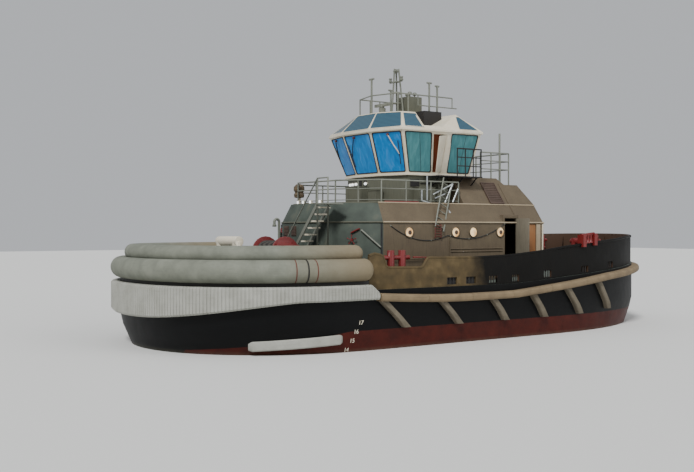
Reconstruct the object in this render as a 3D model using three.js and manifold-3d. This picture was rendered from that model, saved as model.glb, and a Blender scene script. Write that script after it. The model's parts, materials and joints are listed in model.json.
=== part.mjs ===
// Harbour tug with two azimuthing stern drives and a heavily fendered bow, in millimetres.
// +X runs to the fendered bow, +Y to port and +Z up. The origin is on the centreline amidships,
// on the waterline. Each named mesh is one closed solid.
import * as THREE from 'three';
import { mergeVertices } from 'three/addons/utils/BufferGeometryUtils.js';
import Module from 'manifold-3d';

const wasm = await Module();
wasm.setup();

// Main dimensions of the hull
const HALF_BEAM = 5450;
const BOW_TIP = 12150;
const BOW_CURVE_START = 6750;
const STERN_CURVE_START = -3100;
const STERN_TIP = -12100;
const BOW_FULLNESS = 2.2;
const STERN_FULLNESS = 2.3;
const BOOT_TOP = 700;
const DECK = 2100;
const SHEER_START = -1000;
const SHEER_SLOPE = 0.0625;
const KEEL_BOTTOM = -4200;

// Gaps between pieces that rest on each other and between pieces that move
const SEAT_GAP = 0.3;
const SKIN_GAP = 0.6;
const RUNNING_GAP = 6;

// Fenders
const BELT_TOP_BELOW_DECK = 100;
const BELT_DEPTH = 275;
// The belt dips amidships, over a length ahead of and behind its lowest point
const BELT_DIP = { depth: 170, x: 1400, ahead: 4300, behind: 8000 };
const BELT_PROUD = 330;
const BELT_START = 5600;
const RIBBED_START = 5650;
const CYLINDER_END = 5900;
const LOWER_CYLINDER_RADIUS = 390;
const LOWER_CYLINDER_AXIS = { out: -40, z: 2800 };
const UPPER_CYLINDER_RADIUS = 300;
const UPPER_CYLINDER_AXIS = { out: -460, z: 3350 };
const UPPER_CYLINDER_END = 6000;
const BED_BACK_TOP = 3350;

// Deckhouse, engine casing and wheelhouse
const HOUSE_HALF_WIDTH = 3600;
const HOUSE_FRONT = 4950;
const HOUSE_FRONT_HALF_WIDTH = 1800;
const HOUSE_SHOULDER_X = 3900;
const HOUSE_AFT = -4600;
const EAVE = 4460;
const UPPER_DECK = 5200;
const HOUSE_TUMBLEHOME = 0.72;
const CASING_FRONT = -600;
const CASING_TOP = 6350;
const WALL = 90;
const WHEELHOUSE_FLOOR_DEPTH = 90;
const WHEELHOUSE_EAVE = 8100;
const ROOF_TOP = 8950;

// Stern drives
const DRIVE_X = -8800;
const DRIVE_Y = 2300;
const DRIVE_AXIS = -2900;
const DRIVE_PAD_RADIUS = 760;
const DRIVE_PAD_BOTTOM = -1560;
const NOZZLE_RADIUS = 1220;
const NOZZLE_BORE = 1060;
const NOZZLE_LENGTH = 1000;
const PROPELLER_RADIUS = 1030;

const paint = (color, roughness = 0.6, metalness = 0) =>
  new THREE.MeshStandardMaterial({ color, roughness, metalness });
const FINISH = {
  hullBlack: paint(0x14161a, 0.55),
  bottomRed: paint(0x5a2018, 0.7),
  fenderGrey: paint(0x8f9288, 0.85),
  fenderPale: paint(0xb4b4aa, 0.85),
  primerTan: paint(0x7a6040, 0.7),
  houseTan: paint(0x6f5f4a, 0.7),
  houseGreen: paint(0x4d5850, 0.7),
  white: paint(0xd8d6cc, 0.5),
  blueFilm: paint(0x2f7fc0, 0.35),
  skylight: paint(0x4a6f86, 0.25),
  fittingRed: paint(0x8a2a2a, 0.6),
  steelGrey: paint(0x6b6f6c, 0.5, 0.6),
  aluminium: paint(0xa9adae, 0.4, 0.9),
  bronze: paint(0x9a7a3c, 0.35, 0.9),
  doorBrown: paint(0x8c5a2c, 0.6),
  darkSteel: paint(0x2c2a28, 0.6, 0.3),
};

const tug = new THREE.Group();

// A closed three.js geometry as a solid that can be cut and joined
function solid(geometry) {
  const bare = geometry.index ? geometry.toNonIndexed() : geometry.clone();
  bare.deleteAttribute('normal');
  bare.deleteAttribute('uv');
  const merged = mergeVertices(bare, 1e-3);
  return new wasm.Manifold(new wasm.Mesh({
    numProp: 3,
    vertProperties: new Float32Array(merged.attributes.position.array),
    triVerts: new Uint32Array(merged.index.array),
  }));
}

function geometryOf(body) {
  const mesh = body.getMesh();
  const geometry = new THREE.BufferGeometry();
  geometry.setAttribute('position', new THREE.BufferAttribute(new Float32Array(mesh.vertProperties), 3));
  geometry.setIndex(new THREE.BufferAttribute(new Uint32Array(mesh.triVerts), 1));
  return geometry;
}

function add(name, shape, material) {
  const geometry = shape.isBufferGeometry ? shape : geometryOf(shape);
  geometry.computeVertexNormals();
  const mesh = new THREE.Mesh(geometry, material);
  mesh.name = name;
  tug.add(mesh);
}

const joined = (shapes) => shapes.map(solidOf).reduce((whole, piece) => whole.add(piece));
const solidOf = (shape) => (shape.isBufferGeometry ? solid(shape) : shape);
const mirrored = (shape) => solidOf(shape).mirror([0, 1, 0]);

function block(x0, x1, y0, y1, z0, z1) {
  return new THREE.BoxGeometry(x1 - x0, y1 - y0, z1 - z0)
    .translate((x0 + x1) / 2, (y0 + y1) / 2, (z0 + z1) / 2);
}

// A round bar between two points
function bar(from, to, radius, sides = 8) {
  const start = new THREE.Vector3(...from);
  const along = new THREE.Vector3(...to).sub(start);
  const turn = new THREE.Quaternion().setFromUnitVectors(
    new THREE.Vector3(0, 1, 0), along.clone().normalize());
  return new THREE.CylinderGeometry(radius, radius, along.length(), sides)
    .applyQuaternion(turn)
    .translate(...start.addScaledVector(along, 0.5).toArray());
}

// A plan outline of [x, y] points raised from z0 to z1
function slab(outline, z0, z1) {
  const shape = new THREE.Shape(outline.map(([x, y]) => new THREE.Vector2(x, y)));
  return new THREE.ExtrudeGeometry(shape, { depth: z1 - z0, bevelEnabled: false }).translate(0, 0, z0);
}

// A side outline of [x, z] points, as thick as the stretch from y0 to y1
function sidePlate(outline, y0, y1) {
  const shape = new THREE.Shape(outline.map(([x, z]) => new THREE.Vector2(x, z)));
  return new THREE.ExtrudeGeometry(shape, { depth: y1 - y0, bevelEnabled: false })
    .rotateX(Math.PI / 2)
    .translate(0, y1, 0);
}

// A turned shape about the line through the origin along +Z, from [radius, z] points
const turned = (profile, sides = 20) =>
  new THREE.LatheGeometry(profile.map(([r, z]) => new THREE.Vector2(r, z)), sides).rotateX(Math.PI / 2);

// A closed skin over rings that all have the same number of [x, y, z] points
function loft(rings, firstCap, lastCap) {
  const count = rings[0].length;
  const corners = [];
  for (let ring = 0; ring + 1 < rings.length; ring += 1) {
    for (let i = 0; i < count; i += 1) {
      const j = (i + 1) % count;
      const [a, b, c, d] = [rings[ring][i], rings[ring][j], rings[ring + 1][j], rings[ring + 1][i]];
      corners.push(a, b, c, a, c, d);
    }
  }
  firstCap.forEach(([a, b, c]) => corners.push(rings[0][c], rings[0][b], rings[0][a]));
  const last = rings[rings.length - 1];
  lastCap.forEach(([a, b, c]) => corners.push(last[a], last[b], last[c]));
  const geometry = new THREE.BufferGeometry();
  geometry.setAttribute('position', new THREE.Float32BufferAttribute(corners.flat(), 3));
  return volume(corners) < 0 ? turnedInsideOut(corners) : geometry;
}

function volume(corners) {
  let sum = 0;
  for (let i = 0; i < corners.length; i += 3) {
    const [a, b, c] = [0, 1, 2].map((k) => new THREE.Vector3(...corners[i + k]));
    sum += a.dot(b.cross(c));
  }
  return sum;
}

function turnedInsideOut(corners) {
  const flipped = [];
  for (let i = 0; i < corners.length; i += 3) flipped.push(corners[i], corners[i + 2], corners[i + 1]);
  const geometry = new THREE.BufferGeometry();
  geometry.setAttribute('position', new THREE.Float32BufferAttribute(flipped.flat(), 3));
  return geometry;
}

const flatCap = (outline) =>
  THREE.ShapeUtils.triangulateShape(outline.map(([x, y]) => new THREE.Vector2(x, y)), []);

// A ring that runs from the bow down the port side and back up the starboard side is capped across
function crossCap(count) {
  const triangles = [];
  for (let port = 0; port < count / 2; port += 1) {
    const starboard = (count - port) % count;
    if (port + 1 <= count / 2 && port !== starboard) {
      triangles.push([port, port + 1, starboard]);
    }
    if (count - port - 1 > port + 1) {
      triangles.push([port + 1, count - port - 1, starboard]);
    }
  }
  return triangles;
}

// The plan of one level of the hull: a straight side with a round bow and a round stern.
// A place on it is a number: 0 at the bow's tip, 1 and 2 at the ends of the straight side, 3 at
// the stern's tip, and negative to starboard.
function planPoint(plan, place) {
  const side = place < 0 ? -1 : 1;
  const along = Math.abs(place);
  if (along <= 1) {
    const turn = along * Math.PI / 2;
    const power = 2 / plan.bowFullness;
    return [
      plan.bowStart + (plan.bowTip - plan.bowStart) * Math.cos(turn) ** power,
      side * plan.halfBeam * Math.sin(turn) ** power,
    ];
  }
  if (along <= 2) {
    return [plan.bowStart + (plan.sternStart - plan.bowStart) * (along - 1), side * plan.halfBeam];
  }
  const turn = (3 - along) * Math.PI / 2;
  const power = 2 / plan.sternFullness;
  return [
    plan.sternStart + (plan.sternTip - plan.sternStart) * Math.max(0, Math.cos(turn)) ** power,
    side * plan.halfBeam * Math.max(0, Math.sin(turn)) ** power,
  ];
}

const RIM = {
  halfBeam: HALF_BEAM,
  bowTip: BOW_TIP,
  bowStart: BOW_CURVE_START,
  sternStart: STERN_CURVE_START,
  sternTip: STERN_TIP,
  bowFullness: BOW_FULLNESS,
  sternFullness: STERN_FULLNESS,
};

// The place on a plan at a given x, on the port side
function placeOn(plan, x) {
  let low = 0;
  let high = 3;
  for (let step = 0; step < 50; step += 1) {
    const middle = (low + high) / 2;
    if (planPoint(plan, middle)[0] > x) low = middle;
    else high = middle;
  }
  return (low + high) / 2;
}
const placeAt = (x) => placeOn(RIM, x);
const mix = (a, b, t) => a.map((value, i) => value + (b[i] - value) * t);

const BOW_STEPS = 8;
const SIDE_STEPS = 4;
const STERN_STEPS = 8;
const SPECIAL_X = [RIBBED_START, UPPER_CYLINDER_END, CYLINDER_END, BELT_START, SHEER_START];
const PLACES = [
  ...Array.from({ length: BOW_STEPS }, (_, i) => i / BOW_STEPS),
  ...Array.from({ length: SIDE_STEPS }, (_, i) => 1 + i / SIDE_STEPS),
  ...Array.from({ length: STERN_STEPS + 1 }, (_, i) => 2 + i / STERN_STEPS),
  ...SPECIAL_X.map(placeAt),
].sort((a, b) => a - b);

const placesBetween = (from, to) => {
  const inside = [...PLACES.slice(1).map((place) => -place), ...PLACES]
    .filter((place) => place > from + 1e-6 && place < to - 1e-6)
    .sort((a, b) => a - b);
  return [from, ...inside, to];
};

const deckHeight = (x) => DECK + Math.max(0, SHEER_START - x) * SHEER_SLOPE;

// The point that lies out from the hull's rim at a place
function rimPoint(place, out) {
  const [x, y] = planPoint(RIM, place);
  const step = 1e-4;
  const [ax, ay] = planPoint(RIM, Math.max(-3, place - step));
  const [bx, by] = planPoint(RIM, Math.min(3, place + step));
  const atTip = Math.abs(place) < 1e-9 || Math.abs(place) > 3 - 1e-9;
  const tip = [Math.abs(place) < 1 ? 1 : -1, 0];
  const length = Math.hypot(bx - ax, by - ay);
  const [nx, ny] = atTip ? tip : [(by - ay) / length, -(bx - ax) / length];
  return [x + nx * out, y + ny * out];
}

// A section of [out, z] points carried round the rim between two places
function wrapped(from, to, sectionAt) {
  const rings = placesBetween(from, to).map((place) =>
    sectionAt(place).map(([out, z]) => {
      const [x, y] = rimPoint(place, out);
      return [x, y, typeof z === 'function' ? z(x) : z];
    }));
  const cap = flatCap(sectionAt(from).map(([out, z]) => [out, typeof z === 'function' ? z(0) : z]));
  return loft(rings, cap, cap);
}

const circleSection = (axis, radius, sides) => Array.from({ length: sides }, (_, i) => {
  const turn = (i + 0.5) / sides * 2 * Math.PI;
  return [axis.out + radius * Math.cos(turn), axis.z + radius * Math.sin(turn)];
});

// Hull levels from the flat of the bottom to the deck
// height, half beam, bow tip, bow curve start, stern tip, stern curve start, fullness of both ends
const LEVELS = [
  [-3050, 2500, 6500, 0, -4200, -600, 1.9],
  [-2700, 3900, 8000, 900, -5200, -1200, 1.9],
  [-1800, 4900, 9600, 2600, -6400, -2000, 2.0],
  [-1000, 5150, 10800, 3900, -11100, -3200, 2.1],
  [0, 5280, 11850, 5400, -11800, -3100, 2.1],
  [BOOT_TOP, 5360, 12080, 6300, -12000, -3100, 2.2],
  [1150, 5450, 12150, 6750, -12100, -3100, 2.2],
];
const levelPlan = ([, halfBeam, bowTip, bowStart, sternTip, sternStart, fullness]) => ({
  halfBeam,
  bowTip,
  bowStart,
  sternTip,
  sternStart,
  bowFullness: fullness,
  sternFullness: fullness + 0.1,
});
const ROUND_PLACES = [...PLACES, ...PLACES.slice(1, -1).reverse().map((place) => -place)];
const levelRing = (plan, height) => ROUND_PLACES.map((place) => {
  const [x, y] = planPoint(plan, place);
  return [x, y, height(x)];
});

function hullPart(levels) {
  const rings = levels.map((level) => levelRing(levelPlan(level), () => level[0]));
  return rings;
}

const acrossCap = crossCap(ROUND_PLACES.length);
const bottomRings = hullPart(LEVELS.filter(([height]) => height <= BOOT_TOP));
const drivePads = [1, -1].map((side) =>
  turned([[0, DRIVE_PAD_BOTTOM], [DRIVE_PAD_RADIUS, DRIVE_PAD_BOTTOM], [DRIVE_PAD_RADIUS, -800], [0, -800]], 24)
    .translate(DRIVE_X, side * DRIVE_Y, 0));
const hullBottom = joined([loft(bottomRings, acrossCap, acrossCap), ...drivePads]);
add('hull_bottom', hullBottom, FINISH.bottomRed);

const topRings = [
  ...hullPart(LEVELS.filter(([height]) => height >= BOOT_TOP)),
  levelRing(RIM, deckHeight),
];
const hullTopsides = solid(loft(topRings, acrossCap, acrossCap));
add('hull_topsides', hullTopsides, FINISH.hullBlack);

// The skeg stands under the hull on the centreline
const skegOutline = [[6200, -2400], [4600, KEEL_BOTTOM], [-4600, KEEL_BOTTOM], [-5900, -2400],
  [-5900, -1500], [6200, -1500]];
const SKEG_HALF = 200;
add('skeg', solid(sidePlate(skegOutline, -SKEG_HALF, SKEG_HALF)).subtract(hullBottom.translate(0, 0, -SEAT_GAP)),
  FINISH.bottomRed);

// Fenders
const ribbedPlace = placeAt(RIBBED_START);
const ribbedBottom = (place) => {
  const [x] = planPoint(RIM, place);
  const toBow = Math.max(0, (x - 8500) / (BOW_TIP - 8500));
  return 1780 - 600 * toBow ** 1.4;
};
const RIBBED_TOP = 2300;
const ribbedBlank = wrapped(-ribbedPlace, ribbedPlace, (place) => {
  const low = ribbedBottom(place);
  return [[SEAT_GAP * 2, low], [BELT_PROUD - 60, low], [BELT_PROUD, low + 60], [BELT_PROUD, RIBBED_TOP - 60],
    [BELT_PROUD - 60, RIBBED_TOP], [SEAT_GAP * 2, RIBBED_TOP]];
});
// Both aft ends slope down from the top to the belt
const ribbedEndCut = sidePlate([[6000, RIBBED_TOP + 10], [5600, 2010], [5500, 2010], [5500, RIBBED_TOP + 10]],
  -7000, 7000);
add('bow_ribbed_fender', solid(ribbedBlank).subtract(solid(ribbedEndCut)), FINISH.fenderPale);

// A bar fender on each bow just over the waterline, let into the run of the hull
const BAR_FENDER = { foreX: 9900, aftX: 6950, foreZ: 310, aftZ: 475, half: 165, proud: 150, buried: 120 };
const hullLevelAt = (z) => {
  const upper = LEVELS.findIndex(([height]) => height > z);
  return levelPlan(mix(LEVELS[upper - 1], LEVELS[upper], (z - LEVELS[upper - 1][0])
    / (LEVELS[upper][0] - LEVELS[upper - 1][0])));
};
const barFenderRings = [0, 0.04, 0.2, 0.4, 0.6, 0.8, 0.96, 1].map((share, i, all) => {
  const x = BAR_FENDER.foreX + (BAR_FENDER.aftX - BAR_FENDER.foreX) * share;
  const z = BAR_FENDER.foreZ + (BAR_FENDER.aftZ - BAR_FENDER.foreZ) * share;
  const end = i === 0 || i === all.length - 1;
  const proud = end ? BAR_FENDER.proud * 0.4 : BAR_FENDER.proud;
  const half = end ? BAR_FENDER.half - 40 : BAR_FENDER.half;
  const plan = hullLevelAt(z);
  const [px, py] = planPoint(plan, placeOn(plan, x));
  const [qx, qy] = planPoint(plan, placeOn(plan, x - 50));
  const length = Math.hypot(px - qx, py - qy);
  const [nx, ny] = [(qy - py) / length, (px - qx) / length];
  return [[-BAR_FENDER.buried, -half], [proud - 30, -half], [proud, -half + 40], [proud, half - 40],
    [proud - 30, half], [-BAR_FENDER.buried, half]].map(([out, rise]) => [px + nx * out, py + ny * out, z + rise]);
});
const barFenderCap = flatCap([[0, 0], [2, 0], [3, 1], [3, 2], [2, 3], [0, 3]]);
const barFender = solid(loft(barFenderRings, barFenderCap, barFenderCap))
  .subtract(hullBottom.translate(SKIN_GAP, SKIN_GAP, 0));
add('bow_bar_fender_port', barFender, FINISH.fenderGrey);
add('bow_bar_fender_starboard', mirrored(barFender), FINISH.fenderGrey);

const bedPlace = placeAt(CYLINDER_END);
const CYLINDER_SIDES = 12;
const flatOf = (radius, sides) => radius * Math.cos(Math.PI / sides);
const lowerFlat = flatOf(LOWER_CYLINDER_RADIUS, CYLINDER_SIDES);
const upperFlat = flatOf(UPPER_CYLINDER_RADIUS, CYLINDER_SIDES);
const lowerSeat = LOWER_CYLINDER_AXIS.z - lowerFlat - SEAT_GAP;
const upperSeat = UPPER_CYLINDER_AXIS.z - upperFlat - SEAT_GAP;
const lowerBack = LOWER_CYLINDER_AXIS.out - lowerFlat - SKIN_GAP;
const upperBack = UPPER_CYLINDER_AXIS.out - upperFlat - SKIN_GAP;
const BED_PLATE = 90;
add('bow_fender_bed', wrapped(-bedPlace, bedPlace, () => [
  [-20, DECK + SEAT_GAP], [-20, lowerSeat], [lowerBack, lowerSeat], [lowerBack, upperSeat],
  [upperBack, upperSeat], [upperBack, BED_BACK_TOP], [upperBack - BED_PLATE, BED_BACK_TOP],
  [upperBack - BED_PLATE, upperSeat - BED_PLATE], [lowerBack - BED_PLATE, upperSeat - BED_PLATE],
  [lowerBack - BED_PLATE, DECK + SEAT_GAP],
]), FINISH.primerTan);
add('bow_cylinder_fender_lower', wrapped(-bedPlace, bedPlace, () =>
  circleSection(LOWER_CYLINDER_AXIS, LOWER_CYLINDER_RADIUS, CYLINDER_SIDES)), FINISH.fenderGrey);
const upperPlace = placeAt(UPPER_CYLINDER_END);
add('bow_cylinder_fender_upper', wrapped(-upperPlace, upperPlace, () =>
  circleSection(UPPER_CYLINDER_AXIS, UPPER_CYLINDER_RADIUS, CYLINDER_SIDES)), FINISH.fenderGrey);

// Side fenders: a belt with six diagonal fenders under it
const beltPlace = placeAt(BELT_START);
function beltTop(x) {
  const share = Math.abs(x - BELT_DIP.x) / (x > BELT_DIP.x ? BELT_DIP.ahead : BELT_DIP.behind);
  const dip = share < 1 ? BELT_DIP.depth * Math.cos(share * Math.PI / 2) : 0;
  return deckHeight(x) - BELT_TOP_BELOW_DECK - dip;
}
const belt = wrapped(beltPlace, 3, () => [
  [SKIN_GAP, (x) => beltTop(x) - BELT_DEPTH],
  [BELT_PROUD - 90, (x) => beltTop(x) - BELT_DEPTH],
  [BELT_PROUD, (x) => beltTop(x) - BELT_DEPTH + 90],
  [BELT_PROUD, (x) => beltTop(x) - 90],
  [BELT_PROUD - 90, (x) => beltTop(x)],
  [SKIN_GAP, (x) => beltTop(x)],
]);
// x of the upper end, length aft and drop of each diagonal fender
const DIAGONALS = [
  [5420, 1150, 1020],
  [2720, 940, 900],
  [190, 770, 880],
  [-1940, 770, 960],
  [-3900, 920, 1110],
  [-5950, 900, 1210],
];
const DIAGONAL_WIDTH = 300;
const DIAGONAL_PROUD = 210;
function diagonal([x, run, drop]) {
  const place = placeAt(x);
  const [px, py] = planPoint(RIM, place);
  const [qx, qy] = rimPoint(placeAt(x - run / 2), 1);
  const [rx, ry] = planPoint(RIM, placeAt(x - run / 2));
  const heading = Math.atan2(qx - rx, qy - ry);
  const top = beltTop(x) - BELT_DEPTH + 40;
  const outline = [[-DIAGONAL_WIDTH / 2, top], [DIAGONAL_WIDTH / 2, top],
    [DIAGONAL_WIDTH / 2 - run, top - drop], [-DIAGONAL_WIDTH / 2 - run, top - drop]];
  const slope = Math.atan2(py - planPoint(RIM, placeAt(x - run))[1], px - planPoint(RIM, placeAt(x - run))[0]);
  const reach = Math.abs(heading) > 0.02 ? 700 : 200;
  const piece = solid(sidePlate(outline, -reach, DIAGONAL_PROUD).rotateZ(slope).translate(px, py, 0));
  return piece.subtract(hullTopsides.translate((qx - rx) * SKIN_GAP, (qy - ry) * SKIN_GAP, 0));
}
const sideFender = joined([belt, ...DIAGONALS.map(diagonal)]);
add('side_fender_port', sideFender, FINISH.fenderGrey);
add('side_fender_starboard', mirrored(sideFender), FINISH.fenderGrey);

// Bulwark: heights of its top edge along the ship
const BULWARK_TOP = [
  [5900, 3260], [5650, 3340], [5290, 3270], [5130, 2840], [3510, 2810], [3250, 3160], [1700, 3140], [500, 3130],
  [-600, 3160], [-1400, 3210], [-2600, 3310], [-4000, 3470], [-5500, 3600], [-9000, 3830], [-12150, 3930],
];
const BULWARK_OUTER = -20;
const BULWARK_THICKNESS = 90;
const bulwarkBlank = wrapped(bedPlace, 3, () => [
  [BULWARK_OUTER - BULWARK_THICKNESS, (x) => deckHeight(x) + SEAT_GAP],
  [BULWARK_OUTER, (x) => deckHeight(x) + SEAT_GAP],
  [BULWARK_OUTER, () => 4200],
  [BULWARK_OUTER - BULWARK_THICKNESS, () => 4200],
]);
const aboveBulwark = sidePlate([...BULWARK_TOP, [-13000, 3930], [-13000, 5000], [5950, 5000], [5950, 3260]],
  -7000, 7000);
// centre and width of each freeing port
const FREEING_PORTS = [[2120, 480], [1190, 480], [60, 420], [-1130, 360], [-2900, 420], [-5200, 460],
  [-7200, 460]];
const portCuts = FREEING_PORTS.map(([x, width]) =>
  block(x - width / 2, x + width / 2, 0, 7000, deckHeight(x) + 70, deckHeight(x) + 330));
const bulwark = joined([bulwarkBlank]).subtract(joined([aboveBulwark, ...portCuts]));
const bedEndCut = block(5899, 7000, -7000, 7000, 0, 5000);
add('bulwark_port', bulwark.subtract(solid(bedEndCut)), FINISH.primerTan);
add('bulwark_starboard', mirrored(bulwark.subtract(solid(bedEndCut))), FINISH.primerTan);

// What stands on the deck is cut off just above it
const deckProfile = [
  [13000, DECK + SEAT_GAP], [SHEER_START, DECK + SEAT_GAP], [-13000, deckHeight(-13000) + SEAT_GAP],
  [-13000, -500], [13000, -500],
];
const underDeck = solid(sidePlate(deckProfile, -7000, 7000));
const onDeck = (shape) => solidOf(shape).subtract(underDeck);

// Deckhouse
function houseOutline(inset, narrowing) {
  const half = HOUSE_HALF_WIDTH - inset - narrowing;
  const port = [
    [HOUSE_FRONT - inset - narrowing * 0.5, HOUSE_FRONT_HALF_WIDTH - inset * 0.4 - narrowing * 0.4],
    [HOUSE_SHOULDER_X - inset * 0.6 - narrowing * 0.3, half],
    [HOUSE_AFT + inset, half],
  ];
  return [...port, ...port.slice().reverse().map(([x, y]) => [x, -y])];
}
const ringOf = (outline, z) => outline.map(([x, y]) => [x, y, z]);
const tumblehome = (z) => Math.max(0, z - EAVE) * HOUSE_TUMBLEHOME;
function houseShell(inset, low, high) {
  const levels = [low, EAVE, high].filter((z, i, all) => i === 0 || z > all[i - 1]);
  const outlines = levels.map((z) => ringOf(houseOutline(inset, tumblehome(z)), z));
  const cap = flatCap(outlines[0].map(([x, y]) => [x, y]));
  return loft(outlines, cap, cap);
}
const SIDE_DOOR = { from: -3050, to: -2360, sill: 2480, top: 4640 };
const AFT_DOOR = { from: -4150, to: -3450, sill: 2560, top: 4400 };
const doorway = ({ from, to, sill, top }, side) =>
  block(from, to, side > 0 ? 3000 : -3800, side > 0 ? 3800 : -3000, sill, top);
// The side doors are taller than the eave, so each stands in an upright box on the sloping side
const doorBox = (side) => {
  const [low, high] = side > 0 ? [2900, HOUSE_HALF_WIDTH] : [-HOUSE_HALF_WIDTH, -2900];
  return block(SIDE_DOOR.from - 80, SIDE_DOOR.to + 80, low, high, 4300, SIDE_DOOR.top + 140);
};
const deckhouse = joined([houseShell(0, 1900, UPPER_DECK), doorBox(1), doorBox(-1)])
  .subtract(solid(houseShell(WALL, 1800, UPPER_DECK - WALL)))
  .subtract(joined([doorway(SIDE_DOOR, 1), doorway(SIDE_DOOR, -1), doorway(AFT_DOOR, 1)]));
add('deckhouse', onDeck(deckhouse), FINISH.houseTan);

// Engine casing behind the wheelhouse
function casingRing(inset, z) {
  const half = HOUSE_HALF_WIDTH - tumblehome(z) - inset;
  return [[CASING_FRONT - inset, half], [HOUSE_AFT + inset, half], [HOUSE_AFT + inset, -half],
    [CASING_FRONT - inset, -half]].map(([x, y]) => [x, y, z]);
}
const quadCap = [[0, 1, 2], [0, 2, 3]];
const CASING_AFT_TOP = 6080;
// The aft part of the casing is lower and its end leans forward
const aboveAftPart = (inset) => solid(sidePlate([
  [-3180 + inset, CASING_TOP + 50], [-3180 + inset, CASING_TOP - inset], [-3450 + inset, CASING_AFT_TOP - inset],
  [-4210 + inset, CASING_AFT_TOP - inset], [-4610 + inset, UPPER_DECK + 40], [-4900, UPPER_DECK + 40],
  [-4900, CASING_TOP + 50],
], -4000, 4000));
const casing = solid(loft([casingRing(0, UPPER_DECK + SEAT_GAP), casingRing(0, CASING_TOP)], quadCap, quadCap))
  .subtract(aboveAftPart(0))
  .subtract(solid(loft([casingRing(WALL, UPPER_DECK - 10), casingRing(WALL, CASING_TOP - WALL)], quadCap, quadCap))
    .subtract(aboveAftPart(WALL)));
add('engine_casing', casing, FINISH.houseTan);

// Trunk that carries the wheelhouse
const TRUNK_FRONT = 1900;
const TRUNK_HALF_WIDTH = 2050;
const trunkOutline = [[TRUNK_FRONT, 740], [TRUNK_FRONT - 390, TRUNK_HALF_WIDTH],
  [CASING_FRONT + SEAT_GAP, TRUNK_HALF_WIDTH], [CASING_FRONT + SEAT_GAP, -TRUNK_HALF_WIDTH],
  [TRUNK_FRONT - 390, -TRUNK_HALF_WIDTH], [TRUNK_FRONT, -740]];
const trunkInner = trunkOutline.map(([x, y]) => [x - Math.sign(x) * WALL, y - Math.sign(y) * WALL]);
add('wheelhouse_trunk', solid(slab(trunkOutline, UPPER_DECK + SEAT_GAP, CASING_TOP))
  .subtract(solid(slab(trunkInner, UPPER_DECK - 10, CASING_TOP - WALL))), FINISH.houseGreen);

// A landing outside each wheelhouse door, with a rail abaft the door's swing
const LANDING_TOP = 6340;
const LANDING_EDGE = 2925;
const RAIL_Y = LANDING_EDGE - 35;
const HAND_RAIL = 7450;
const landingSteel = [
  block(-1750, 600, TRUNK_HALF_WIDTH, LANDING_EDGE, LANDING_TOP - 40, LANDING_TOP),
  ...[-1500, -750, 60, 520].map((x) => bar([x, LANDING_EDGE - 50, LANDING_TOP - 20], [x, 2000, 5560], 28, 8)),
  ...[-400, -833, -1267, -1700].map((x) => bar([x, RAIL_Y, LANDING_TOP - 20], [x, RAIL_Y, HAND_RAIL], 25, 8)),
  ...[7100, 6750].map((z) => bar([-380, RAIL_Y, z], [-1720, RAIL_Y, z], 20, 8)),
  bar([-380, RAIL_Y, HAND_RAIL], [-1720, RAIL_Y, HAND_RAIL], 28, 8),
];
const casingSeat = solid(loft([casingRing(-SEAT_GAP, UPPER_DECK), casingRing(-SEAT_GAP, CASING_TOP + 1)],
  quadCap, quadCap));
const trunkSeat = solid(slab(trunkOutline.map(([x, y]) =>
  [x + Math.sign(x) * SEAT_GAP, y + Math.sign(y) * SEAT_GAP]), UPPER_DECK, CASING_TOP + 1));
const landing = joined(landingSteel).subtract(joined([casingSeat, trunkSeat]));
add('door_landing_port', landing, FINISH.steelGrey);
add('door_landing_starboard', mirrored(landing), FINISH.steelGrey);

// Wheelhouse: the walls lean out from the floor to the eave
// front, front half width, corner x, corner half width, aft x, aft half width
const WHEELHOUSE_BASE = [1950, 780, 1550, 2100, -1690, 2200];
const WHEELHOUSE_HEAD = [2550, 950, 2120, 2500, -1850, 2720];
const WHEELHOUSE_CROWN = [1950, 640, 1450, 1600, -1180, 1900];
const outlineOf = ([front, frontHalf, cornerX, cornerHalf, aft, aftHalf], inset = 0) => {
  const port = [[front - inset, frontHalf - inset * 0.2], [cornerX - inset * 0.7, cornerHalf - inset * 0.85],
    [aft + inset, aftHalf - inset]];
  return [...port, ...port.slice().reverse().map(([x, y]) => [x, -y])];
};
function wheelhouseShell(lower, z0, upper, z1, inset) {
  const rings = [ringOf(outlineOf(lower, inset), z0), ringOf(outlineOf(upper, inset), z1)];
  const cap = flatCap(rings[0].map(([x, y]) => [x, y]));
  return loft(rings, cap, cap);
}
const FLOOR_TOP = CASING_TOP + SEAT_GAP + WHEELHOUSE_FLOOR_DEPTH;
const WALL_FOOT = FLOOR_TOP + SEAT_GAP;
const wallShare = (z) => (z - FLOOR_TOP) / (WHEELHOUSE_EAVE - FLOOR_TOP);
const wallPlan = (z) => mix(WHEELHOUSE_BASE, WHEELHOUSE_HEAD, wallShare(z));
add('wheelhouse_floor', slab(outlineOf(WHEELHOUSE_BASE, -60), CASING_TOP + SEAT_GAP, FLOOR_TOP), FINISH.white);

const WALL_HEAD = WHEELHOUSE_EAVE;
const SILL = 6490;
const WINDOW_HEAD = 8050;
const FRAME_WALL = 70;
const GLASS = 25;
// The door's front edge leans forward with the windows
const WH_DOOR = { from: -130, toLow: 300, toHigh: 560, sill: FLOOR_TOP + 60, top: 8000 };

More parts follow.
